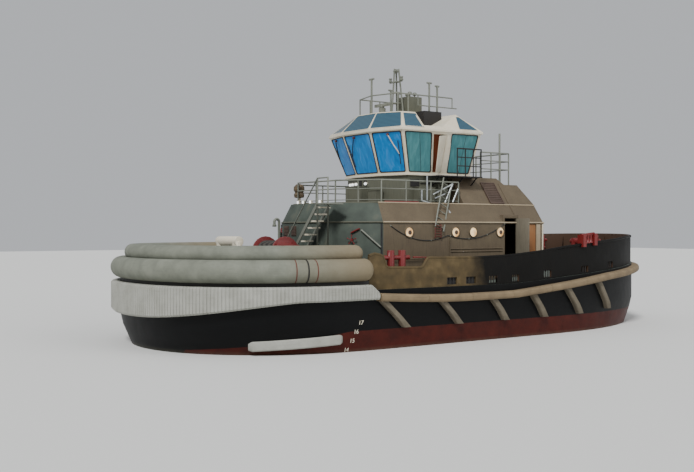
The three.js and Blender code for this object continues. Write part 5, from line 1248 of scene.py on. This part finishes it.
def build_aft_deck_fittings():
    hatches, vents, ladder, reds = [Shape() for _ in range(4)]
    # Each hatch is a coaming and a lid with two hinges and a handle
    for x, y, width, length in HATCHES:
        base = deck_height(x)
        aft, fore, low, high = x - length / 2, x + length / 2, y - width / 2, y + width / 2
        hatches.block((aft, low, base - 0.04), (fore, high, base + 0.16))
        hatches.block((aft - 0.04, low - 0.04, base + 0.16), (fore + 0.04, high + 0.04, base + 0.2))
        for k in (-1, 1):
            hinge = y + k * width * 0.3, base + 0.215
            hatches.bar((fore - 0.06, *hinge), (fore + 0.1, *hinge), 0.025)
        hatches.tube([(x - 0.08, y, base + 0.195), (x - 0.08, y, base + 0.25), (x + 0.08, y, base + 0.25),
                      (x + 0.08, y, base + 0.195)], 0.012)
    # Gooseneck vents beside the house and on the fore deck
    for x, y, rise in VENTS:
        base = deck_height(x) - 0.01
        path = [(x, y, base), (x, y, base + rise)]
        for k in range(1, 9):
            turn = math.pi * k / 8
            path.append((x + VENT_BEND * (1 - math.cos(turn)), y, base + rise + VENT_BEND * math.sin(turn)))
        path.append((x + 2 * VENT_BEND, y, base + rise - 0.1))
        vents.tube(path, 0.055, 14)
        vents.turned(VENT_MOUTH, (x + 2 * VENT_BEND, y, base + rise - 0.17), sides=18)
        vents.turned(VENT_FOOT, (x, y, base + 0.005), sides=18)
    # Ladder up the aft wall to the casing top
    x = AFT_LADDER_X
    for y in AFT_LADDER_Y:
        ladder.tube([(x, y, 2.33), (x, y, 5.3), (-4.6, y, 5.32)], 0.022, 10)
        for z in (2.7, 3.9):
            ladder.bar((x, y, z), (HOUSE_AFT, y, z), 0.015, 8)
    for k in range(10):
        rung = [(x, y, 2.55 + 0.29 * k) for y in AFT_LADDER_Y]
        ladder.bar(*rung, 0.014, 8)
    # Hose box with a lid, and two extinguishers, on the aft wall
    reds.block((-4.78, 0.5, 3.2), (HOUSE_AFT, 1.1, 3.85))
    reds.block((-4.79, 0.48, 3.83), (HOUSE_AFT, 1.12, 3.87))
    for y in (1.45, 1.7):
        reds.turned(EXTINGUISHER, (-4.69, y, 3.1), sides=20)
    for shape, name, slot, paint in ((hatches, "deck_hatches", "grey_steel", "deck"),
                                     (vents, "gooseneck_vents", "grey_steel", "grey"),
                                     (ladder, "aft_ladder", "grey_steel", "grey"),
                                     (reds, "fire_boxes", "fitting_red", "red")):
        shape.piece(name, slot, paint, angle=40, bevel=0.004)


# What stands in the wheelhouse starts this high
STANDING = FLOOR_TOP + 0.001
# Corners of the steering console's side, from the foot of its front upwards
CONSOLE = ((1.3, STANDING), (1.3, 7.3), (0.95, 7.45), (0.6, 7.15), (0.7, STANDING))


def build_wheelhouse_inside():
    console, seats, wood = [Shape() for _ in range(3)]
    console.plate([(x, -0.75, z) for x, z in CONSOLE], (0, 1.5, 0))
    for side, _ in SIDES:
        # A seat on a post, and a wooden locker by each door
        y = -0.95 * side
        seats.bar((-0.1, y, STANDING), (-0.1, y, 6.9), 0.06, 12)
        seats.block((-0.38, y - 0.27, 6.88), (0.18, y + 0.27, 7.0))
        seats.block((-0.42, y - 0.25, 6.98), (-0.28, y + 0.25, 7.65))
        low, high = sorted((side * 1.45, side * 1.9))
        wood.block((-0.95, low, STANDING), (-0.2, high, 7.95))
    for shape, name, slot, paint in ((console, "steering_console", "grey_steel", "grey"),
                                     (seats, "helm_seats", "dark_steel", "dark"),
                                     (wood, "wheelhouse_lockers", "brown_door", "brown")):
        shape.piece(name, slot, paint, angle=40, bevel=0.01)


# x and y of the port corners, from the front aft, at the walls' foot and head and the roof's foot and crown
WALL_FOOT_CORNERS = [(1.95, 0.78), (1.55, 2.1), (-1.69, 2.2)]
WALL_HEAD_CORNERS = [(2.55, 0.95), (2.12, 2.5), (-1.85, 2.72)]
ROOF_FOOT_CORNERS = [(2.61, 0.962), (2.162, 2.551), (-1.91, 2.78)]
ROOF_CROWN_CORNERS = [(1.95, 0.64), (1.45, 1.6), (-1.18, 1.9)]
# Corner pair, start and end share along the panel, sill and film of each window
SILL, AFT_SILL, HEAD = 6.49, 6.74, 8.05
WINDOWS = [(0, 1, 0.05, 0.95, SILL, "blue"), (5, 0, 0.04, 0.96, SILL, "blue"),
           (4, 5, 0.05, 0.95, SILL, "blue"), (1, 2, 0.03, 0.365, SILL, "teal"),
           (1, 2, 0.62, 0.97, SILL, "teal"), (3, 4, 0.03, 0.38, SILL, "teal"),
           (3, 4, 0.635, 0.97, SILL, "teal"), (2, 3, 0.06, 0.47, AFT_SILL, "teal"),
           (2, 3, 0.53, 0.94, AFT_SILL, "teal")]
AFT_PANEL = 2
# Corner pair, start and end share along the foot, low and high share, start and end share along the top
SKYLIGHTS = [(0, 1, 0.07, 0.93, 0.1, 0.88, 0.07, 0.93), (5, 0, 0.06, 0.94, 0.1, 0.88, 0.06, 0.94),
             (4, 5, 0.07, 0.93, 0.1, 0.88, 0.07, 0.93), (1, 2, 0.05, 0.25, 0.1, 0.84, 0.05, 0.22),
             (3, 4, 0.75, 0.95, 0.1, 0.84, 0.78, 0.95), (1, 2, 0.74, 0.94, 0.12, 0.78, 0.92, 0.95),
             (3, 4, 0.06, 0.26, 0.12, 0.78, 0.05, 0.08)]
# Corner pair, share of the motor and of the blade along the panel, and slot of the arm of each wiper
WIPERS = ((0, 1, 0.55, 0.84, 1), (5, 0, 0.4, 0.13, 0), (4, 5, 0.42, 0.17, 0))
# Corner pair, start and end share of the board inside each side doorway
BOARDS = ((1, 2, 0.385, 0.5), (3, 4, 0.5, 0.615))
# Where a film's lap seam runs along the window, and half its width
LAP_SHARE, LAP_HALF = 0.55, 0.006
MIDDLE_OF_WHEELHOUSE = Vector((0.2, 0, 6.5))
CORNER_STEPS = 4


def on_line(low_corners, high_corners, rise, a, b, share, z):
    """A point between two of an outline's six corners, part of the way up from low to high corners."""
    port = [(x + (x2 - x) * rise, y + (y2 - y) * rise)
            for (x, y), (x2, y2) in zip(low_corners, high_corners)]
    outline = port + [(x, -y) for x, y in reversed(port)]
    (ax, ay), (bx, by) = outline[a], outline[b]
    return Vector((ax + (bx - ax) * share, ay + (by - ay) * share, z))


def wall_point(a, b, share, z):
    rise = (z - FLOOR_TOP) / (WALL_HEAD - FLOOR_TOP)
    return on_line(WALL_FOOT_CORNERS, WALL_HEAD_CORNERS, rise, a, b, share, z)


def wall_panel(a, b, start, end, low, high):
    return [wall_point(a, b, share, z)
            for share, z in ((start, low), (end, low), (end, high), (start, high))]


def roof_point(a, b, share, rise):
    z = BAND_TOP + (ROOF_TOP - BAND_TOP) * rise
    return on_line(ROOF_FOOT_CORNERS, ROOF_CROWN_CORNERS, rise, a, b, share, z)


def rounded(corners, radius, shrink):
    """Corners of a flat outline pulled in by shrink and rounded."""
    count = len(corners)
    result = []
    for i, corner in enumerate(corners):
        following = corners[(i + 1) % count]
        before = (corners[i - 1] - corner).normalized()
        after = (following - corner).normalized()
        half = math.acos(max(-1, min(1, before.dot(after)))) / 2
        tip = corner + (before + after).normalized() * (shrink / max(0.15, math.sin(half)))
        # The curve takes less than half of the shorter side
        room = min((corners[i - 1] - corner).length, (following - corner).length) * 0.45
        reach = min(radius / math.tan(half), room)
        start, end = tip + before * reach, tip + after * reach
        for k in range(CORNER_STEPS + 1):
            t = k / CORNER_STEPS
            result.append((1 - t) ** 2 * start + 2 * t * (1 - t) * tip + t * t * end)
    return result


def outward_normal(corners):
    normal = (corners[1] - corners[0]).cross(corners[3] - corners[0]).normalized()
    centre = sum(corners, Vector()) / 4
    return normal if normal.dot(centre - MIDDLE_OF_WHEELHOUSE) > 0 else -normal


def build_wheelhouse(gasket_width):
    for node, bevel in (("wheelhouse_floor", 0.01), ("wheelhouse_walls", 0.008), ("wheelhouse_roof", 0.01),
                        ("wheelhouse_door_port", 0.006), ("wheelhouse_door_starboard", 0.006)):
        softened(node, "white", bevel=bevel)
    panes, gaskets = Shape(), Shape()
    for a, b, start, end, sill, film in WINDOWS:
        corners = wall_panel(a, b, start, end, sill, HEAD)
        out = outward_normal(corners)
        gaskets.frame_ring(moved(rounded(corners, 0.09, -0.012), out * -0.01),
                           moved(rounded(corners, 0.08, gasket_width), out * -0.01), out * 0.022)
        panes.plate(moved(rounded(corners, 0.06, 0.004), out * -0.03), out * 0.018,
                    slot=0 if film == "blue" else 1)
        if film == "teal" and a != AFT_PANEL:
            # The lap seam of two widths of film, a narrow raised strip
            lower = corners[0].lerp(corners[1], LAP_SHARE) - out * 0.012
            upper = corners[3].lerp(corners[2], LAP_SHARE) - out * 0.012
            half = (corners[1] - corners[0]).normalized() * LAP_HALF
            panes.plate([lower - half, lower + half, upper + half, upper - half], out * 0.004, slot=2)
    panes.piece("window_panes", "window_film", ["blue_film", "teal_film", "gasket"], ["window_glass"],
                angle=30)
    sky, frames = Shape(), Shape()
    for a, b, start, end, low, high, top_start, top_end in SKYLIGHTS:
        corners = [roof_point(a, b, share, rise)
                   for share, rise in ((start, low), (end, low), (top_end, high), (top_start, high))]
        out = outward_normal(corners)
        frames.frame_ring(moved(rounded(corners, 0.05, -0.085), out * -0.01),
                          moved(rounded(corners, 0.05, -0.06), out * -0.01), out * 0.03)
        sky.plate(moved(rounded(corners, 0.05, -0.065), out * -0.006), out * 0.014)
    sky.piece("skylight_panes", "skylight_glass", "skylight", ["skylight_glass"], angle=30)
    frames.piece("skylight_frames", "white_paint", "white", angle=30)
    gaskets.piece("window_gaskets", "dark_steel", "gasket", angle=30)
    # Wipers hang over the front panes from small motors, and one has a white arm
    wipers, motors = Shape(), Shape()
    for a, b, share, reach, slot in WIPERS:
        out = outward_normal(wall_panel(a, b, 0.1, 0.9, SILL, HEAD))
        low, high, foot = [wall_point(a, b, reach, z) + out * 0.045 for z in (6.8, 7.7, 7.2)]
        centre = wall_point(a, b, share, 7.96) + out * 0.05
        motors.bar(centre - out * 0.05, centre + out * 0.02, 0.05, 14)
        wipers.tube([centre, centre.lerp(foot, 0.5) + out * 0.02, foot], 0.022, 6, slot)
        wipers.tube([low, foot, high], 0.018, 6)
    wipers.piece("window_wipers", "grey_steel", ["gasket", "white"], angle=50)
    motors.piece("wiper_motors", "fitting_red", "dull_red", angle=50)
    # A plywood board stands just inside each side doorway, over its forward half
    boards = Shape()
    for a, b, start, end in BOARDS:
        corners = wall_panel(a, b, start, end, 6.46, 7.98)
        out = outward_normal(corners)
        boards.plate(moved(corners, out * -0.15), out * 0.018)
    boards.piece("doorway_boards", "brown_door", "plywood", angle=30)


# Foot of each navigation lamp on the mast, and of each aerial dome
MAST_LAMPS = ((0.47, 0.0, 10.76), (0.47, 0.38, 10.42), (0.47, -0.38, 10.42))
MAST_LAMP = [(0.05, 0), (0.075, 0.02), (0.075, 0.05), (0.055, 0.06), (0.055, 0.13), (0.075, 0.14),
             (0.06, 0.18), (0.0, 0.19)]
DOMES = ((-0.1, 0.22, 9.8), (-0.46, 0.1, 9.8), (-0.3, -0.2, 9.8))
DOME = [(0.03, 0), (0.03, 0.08), (0.09, 0.1), (0.1, 0.14), (0.085, 0.19), (0.045, 0.22), (0, 0.225)]


def build_roof_gear():
    for node, paint in (("mast", "grey"), ("roof_rail", "grey"), ("roof_locker", "trunk"),
                        ("radar_base", "grey"), ("radar_scanner", "grey")):
        softened(node, paint, bevel=0.004, angle=50)
    # The boxes in the roof's notches are near-black: dark paint together with the painted shade of the
    # recess
    for _, name in SIDES:
        softened(f"roof_box_{name}", "dark", bevel=0.012)
    lamps, domes = Shape(), Shape()
    for foot in MAST_LAMPS:
        lamps.turned(MAST_LAMP, foot, sides=20)
    for foot in DOMES:
        domes.turned(DOME, foot)
    lamps.piece("navigation_lamps", "grey_steel", "grey", angle=40)
    domes.piece("aerial_domes", "grey_steel", "grey", angle=50)


# Axis of the drum in x and z, its first turn's y, the pitch of the turns and the gap to the drum
DRUM_X, DRUM_Z = 6.4, 3.3
DRUM_RADIUS = 0.36
TOWLINE_START, TOWLINE_PITCH, TOWLINE_GAP = -0.66, 0.0765, 0.03
TOWLINE_TURNS, TURN_STEPS = 17, 24


def build_deck_gear(towline_radius):
    for node, paint, bevel in (("winch_frame", "red", 0.012), ("winch_drum", "red", 0.012),
                               ("double_bitts_port", "red", 0.01), ("double_bitts_starboard", "red", 0.01),
                               ("stern_staple", "red", 0.01), ("stern_bitts_port", "red", 0.01),
                               ("stern_bitts_starboard", "red", 0.01), ("stern_capstan", "red", 0.01),
                               ("bow_staple", "white", 0.012), ("stern_capstan_base", "grey", 0.01)):
        softened(node, paint, bevel=bevel, angle=40)
    # Turns of the towline on the drum, laid side by side
    reach = DRUM_RADIUS + towline_radius + TOWLINE_GAP
    points = []
    for k in range(TOWLINE_TURNS * TURN_STEPS + 1):
        turns = k / TURN_STEPS
        angle = 2 * math.pi * turns
        points.append((DRUM_X + reach * math.cos(angle), TOWLINE_START + turns * TOWLINE_PITCH,
                       DRUM_Z + reach * math.sin(angle)))
    Shape().tube(points, towline_radius).piece("towline_on_drum", "fender_grey", "rope", angle=60,
                                               body="winch_drum")


TREADS = 12
GRATING_BARS, GRATING_PITCH = 7, 0.035


def build_rails_and_stairs():
    for node, paint in (("upper_deck_rail", "grey"), ("casing_rail", "grey"), ("casing_pole", "grey"),
                        ("front_stair", "grey"), ("door_landing_port", "dark"),
                        ("door_landing_starboard", "dark")):
        softened(node, paint, bevel=0.0, angle=50)
    # Bright grating on the treads, with a nosing along each painted white as the highlight along each
    # tread's edge
    treads, lips = Shape(), Shape()
    for i in range(TREADS):
        share = (i + 0.7) / TREADS
        y, z = -1.15 + 2.9 * share, 2.1003 + 3.0797 * share - 0.075
        for k in range(GRATING_BARS):
            at = y + k * GRATING_PITCH
            treads.block((5.085, at - 0.028, z), (5.635, at - 0.01, z + 0.012))
        lips.block((5.082, y + 0.2, z - 0.045), (5.638, y + 0.222, z + 0.014))
    treads.piece("tread_grating", "aluminium", "aluminium", angle=30)
    lips.piece("tread_nosings", "white_paint", "white", angle=30)
    softened("side_ladder_port", "grey", bevel=0.0, angle=50)


def build_stern_drives():
    for _, name in SIDES:
        softened(f"stern_drive_{name}", "antifouling", bevel=0.01, angle=40)
        softened(f"propeller_{name}", "bronze", bevel=0.004, angle=40)


# Sizes and colours that a user would change

def size_setting(name, description, default):
    return bpy.props.FloatProperty(name=name, description=description, default=default, min=0,
                                   unit="LENGTH")


def colour_setting(name, description, code):
    return bpy.props.FloatVectorProperty(name=name, description=description, default=linear(code),
                                         subtype="COLOR", min=0, max=1)


class TugSizes(bpy.types.PropertyGroup):
    """Sizes of the tug's dressed pieces."""

    figure_height: size_setting("Draught figures", "Height of the draught figures", 0.15)
    rib_pitch: size_setting("Rib pitch", "Distance between the ribs of the bow fender", 0.12)
    stay_spacing: size_setting("Stay spacing", "Distance between the bracket stays of the bulwark", 0.95)
    porthole_radius: size_setting("Porthole radius", "Clear radius of the side portholes", 0.15)
    gasket_width: size_setting("Gasket width", "Width of the rubber round each window", 0.03)
    towline_radius: size_setting("Towline radius", "Radius of the line on the winch drum", 0.036)


class TugColours(bpy.types.PropertyGroup):
    """Colours of the tug's large surfaces and of the stage."""

    hull: colour_setting("Hull", "Enamel of the topsides", "#040506")
    bottom: colour_setting("Bottom", "Antifouling on the skeg and the drives", "#431510")
    deck: colour_setting("Deck", "Anti-slip paint of the deck", "#4a534c")
    cylinders: colour_setting("Cylinder fenders", "Rubber of the two bow cylinders", "#696c60")
    ribbed: colour_setting("Ribbed fender", "Rubber of the ribbed bow fender", "#93938a")
    belt: colour_setting("Belt fender", "Rubber of the belt along the sides", "#6f5f47")
    house: colour_setting("Deckhouse", "Primer of the deckhouse", "#574b39")
    # The wheelhouse's white is tinted cream as painted yellow lamplight
    wheelhouse: colour_setting("Wheelhouse", "Enamel of the wheelhouse", "#ddd5c1")
    fittings: colour_setting("Deck fittings", "Enamel of the winch, bitts and staples", "#6e1c1c")
    front_film: colour_setting("Front film", "Film on the front windows", "#2b79bb")
    side_film: colour_setting("Side film", "Film on the side and aft windows", "#447579")
    floor: colour_setting("Floor", "Colour of the studio floor", "#d9d9d6")


# Eye 4.2 m above the water, off the port bow, looking a touch down
CAMERA_PLACE = (25.39, 31.74, 4.2)
CAMERA_VIEW = Vector((-0.5764, -0.8171, -math.tan(math.radians(0.42))))
FOCAL_PIXELS = 954
PHOTO_WIDTH = 694
SENSOR_WIDTH = 36
FLOOR_REACH = 150.0
AIR_COLOUR = "#eef1f6"
AIR_STRENGTH = 0.62
# Name, azimuth, elevation, strength and softness in degrees of each lamp
LAMPS = (("key", 38, 46, 3.0, 12), ("fill", 120, 28, 0.7, 40))


def aimed(name, data, direction, track):
    """An object for a camera or a lamp, turned so that one of its axes follows a direction."""
    holder = bpy.data.objects.new(name, data)
    bpy.context.scene.collection.objects.link(holder)
    holder.rotation_mode = "QUATERNION"
    holder.rotation_quaternion = direction.to_track_quat(track, "Y")
    return holder


def build_camera():
    camera = bpy.data.cameras.new("camera")
    camera.sensor_width = SENSOR_WIDTH
    camera.lens = FOCAL_PIXELS / PHOTO_WIDTH * SENSOR_WIDTH
    camera.clip_end = 300
    holder = aimed("camera", camera, CAMERA_VIEW, "-Z")
    holder.location = CAMERA_PLACE
    bpy.context.scene.camera = holder


def build_stage(floor_colour):
    """Lays the pale floor on the waterline, and lights it with air and two soft lamps."""
    mesh = bpy.data.meshes.new("studio_floor")
    corners = [(x * FLOOR_REACH, y * FLOOR_REACH, 0) for x, y in ((-1, -1), (1, -1), (1, 1), (-1, 1))]
    mesh.from_pydata(corners, [], [(0, 1, 2, 3)])
    paper = Finish("studio_floor_paper", Roughness=0.9, Base_Color=rgba(floor_colour))
    mesh.materials.append(paper.material)
    floor = bpy.data.objects.new("studio_floor", mesh)
    bpy.context.scene.collection.objects.link(floor)
    world = bpy.data.worlds.new("studio_air")
    world.use_nodes = True
    background = world.node_tree.nodes["Background"]
    background.inputs["Color"].default_value = rgba(AIR_COLOUR)
    background.inputs["Strength"].default_value = AIR_STRENGTH
    bpy.context.scene.world = world
    for name, azimuth, elevation, energy, softness in LAMPS:
        lamp = bpy.data.lights.new(name, "SUN")
        lamp.energy = energy
        lamp.angle = math.radians(softness)
        turn, rise = math.radians(azimuth), math.radians(elevation)
        towards = Vector((math.cos(turn) * math.cos(rise), math.sin(turn) * math.cos(rise), math.sin(rise)))
        aimed(name, lamp, towards, "Z")


class TUG_OT_camera(bpy.types.Operator):
    """Places the camera at the photograph's angle"""

    bl_idname = "tug.camera"
    bl_label = "Camera"

    def execute(self, context):
        build_camera()
        return {"FINISHED"}


class TUG_OT_stage(bpy.types.Operator):
    """Lays the pale floor on the waterline and lights it softly"""

    bl_idname = "tug.stage"
    bl_label = "Stage and light"

    def execute(self, context):
        build_stage(context.scene.tug_colours.floor)
        return {"FINISHED"}


class TUG_OT_materials(bpy.types.Operator):
    """Makes the paints, rubbers, glass and metals"""

    bl_idname = "tug.materials"
    bl_label = "Materials"

    def execute(self, context):
        make_materials(context.scene.tug_colours)
        return {"FINISHED"}


class TUG_OT_hull(bpy.types.Operator):
    """Builds the hull's plating, deck, skeg and draught figures"""

    bl_idname = "tug.hull"
    bl_label = "Hull"

    def execute(self, context):
        build_hull()
        build_draught_marks(context.scene.tug_sizes.figure_height)
        return {"FINISHED"}


class TUG_OT_bow_fenders(bpy.types.Operator):
    """Builds the ribbed fender, the two cylinders, their bed and the bar fenders"""

    bl_idname = "tug.bow_fenders"
    bl_label = "Bow fenders"

    def execute(self, context):
        build_bow_fenders(context.scene.tug_sizes.rib_pitch)
        return {"FINISHED"}


class TUG_OT_side_fenders(bpy.types.Operator):
    """Builds the belt and the diagonal fenders of both sides"""

    bl_idname = "tug.side_fenders"
    bl_label = "Side fenders"

    def execute(self, context):
        build_side_fenders()
        return {"FINISHED"}


class TUG_OT_bulwarks(bpy.types.Operator):
    """Builds the bulwarks with their caps, stays, freeing ports and fairleads"""

    bl_idname = "tug.bulwarks"
    bl_label = "Bulwarks"

    def execute(self, context):
        build_bulwarks(context.scene.tug_sizes.stay_spacing)
        return {"FINISHED"}


class TUG_OT_deckhouse(bpy.types.Operator):
    """Builds the deckhouse, the casing, their doors, portholes and trim"""

    bl_idname = "tug.deckhouse"
    bl_label = "Deckhouse"

    def execute(self, context):
        build_deckhouse(context.scene.tug_sizes.porthole_radius)
        return {"FINISHED"}


class TUG_OT_wheelhouse(bpy.types.Operator):
    """Builds the wheelhouse with its panes, gaskets, skylights and wipers"""

    bl_idname = "tug.wheelhouse"
    bl_label = "Wheelhouse"

    def execute(self, context):
        build_wheelhouse(context.scene.tug_sizes.gasket_width)
        return {"FINISHED"}


class TUG_OT_roof_gear(bpy.types.Operator):
    """Builds the mast, radar, rail, boxes, lamps and domes on the roof"""

    bl_idname = "tug.roof_gear"
    bl_label = "Roof gear"

    def execute(self, context):
        build_roof_gear()
        return {"FINISHED"}


class TUG_OT_deck_gear(bpy.types.Operator):
    """Builds the winch with its line, the staples, bitts and capstan"""

    bl_idname = "tug.deck_gear"
    bl_label = "Deck gear"

    def execute(self, context):
        build_deck_gear(context.scene.tug_sizes.towline_radius)
        return {"FINISHED"}


class TUG_OT_rails(bpy.types.Operator):
    """Builds the rails, the landings, the front stair and the side ladder"""

    bl_idname = "tug.rails"
    bl_label = "Rails and stairs"

    def execute(self, context):
        build_rails_and_stairs()
        return {"FINISHED"}


class TUG_OT_side_fittings(bpy.types.Operator):
    """Builds the cable, pipes, valve wheels and davit frame of the house"""

    bl_idname = "tug.side_fittings"
    bl_label = "Side fittings"

    def execute(self, context):
        build_side_fittings()
        return {"FINISHED"}


class TUG_OT_upper_deck_fittings(bpy.types.Operator):
    """Builds the lamps, lockers, monitor and lifebuoys"""

    bl_idname = "tug.upper_deck_fittings"
    bl_label = "Upper deck fittings"

    def execute(self, context):
        build_upper_deck_fittings()
        return {"FINISHED"}


class TUG_OT_aft_deck_fittings(bpy.types.Operator):
    """Builds the hatches, vents, aft ladder and fire boxes"""

    bl_idname = "tug.aft_deck_fittings"
    bl_label = "Deck fittings"

    def execute(self, context):
        build_aft_deck_fittings()
        return {"FINISHED"}


class TUG_OT_wheelhouse_inside(bpy.types.Operator):
    """Builds the console, seats and lockers"""

    bl_idname = "tug.wheelhouse_inside"
    bl_label = "Wheelhouse inside"

    def execute(self, context):
        build_wheelhouse_inside()
        return {"FINISHED"}


class TUG_OT_stern_drives(bpy.types.Operator):
    """Builds the stern drives and their propellers"""

    bl_idname = "tug.stern_drives"
    bl_label = "Stern drives"

    def execute(self, context):
        build_stern_drives()
        return {"FINISHED"}


OPERATORS = (TUG_OT_camera, TUG_OT_stage, TUG_OT_materials, TUG_OT_hull, TUG_OT_bow_fenders,
             TUG_OT_side_fenders, TUG_OT_bulwarks, TUG_OT_deckhouse, TUG_OT_wheelhouse, TUG_OT_roof_gear,
             TUG_OT_deck_gear, TUG_OT_rails, TUG_OT_side_fittings, TUG_OT_upper_deck_fittings,
             TUG_OT_aft_deck_fittings, TUG_OT_wheelhouse_inside, TUG_OT_stern_drives)


class TUG_PT_panel(bpy.types.Panel):
    """Lists the tug's sizes, colours and pieces"""

    bl_idname = "TUG_PT_panel"
    bl_label = "Harbour tug"
    bl_space_type = "VIEW_3D"
    bl_region_type = "UI"
    bl_category = "Tug"

    def draw(self, context):
        for group in (context.scene.tug_sizes, context.scene.tug_colours):
            for setting in type(group).__annotations__:
                self.layout.prop(group, setting)
        for operator in OPERATORS:
            self.layout.operator(operator.bl_idname)


CLASSES = (TugSizes, TugColours, *OPERATORS, TUG_PT_panel)


def register():
    for cls in CLASSES:
        bpy.utils.register_class(cls)
    bpy.types.Scene.tug_sizes = bpy.props.PointerProperty(type=TugSizes)
    bpy.types.Scene.tug_colours = bpy.props.PointerProperty(type=TugColours)


def unregister():
    del bpy.types.Scene.tug_colours
    del bpy.types.Scene.tug_sizes
    for cls in reversed(CLASSES):
        bpy.utils.unregister_class(cls)


def main():
    register()
    for operator in OPERATORS:
        getattr(bpy.ops.tug, operator.bl_idname.removeprefix("tug."))()
    bpy.context.view_layer.update()


if __name__ == "__main__":
    main()
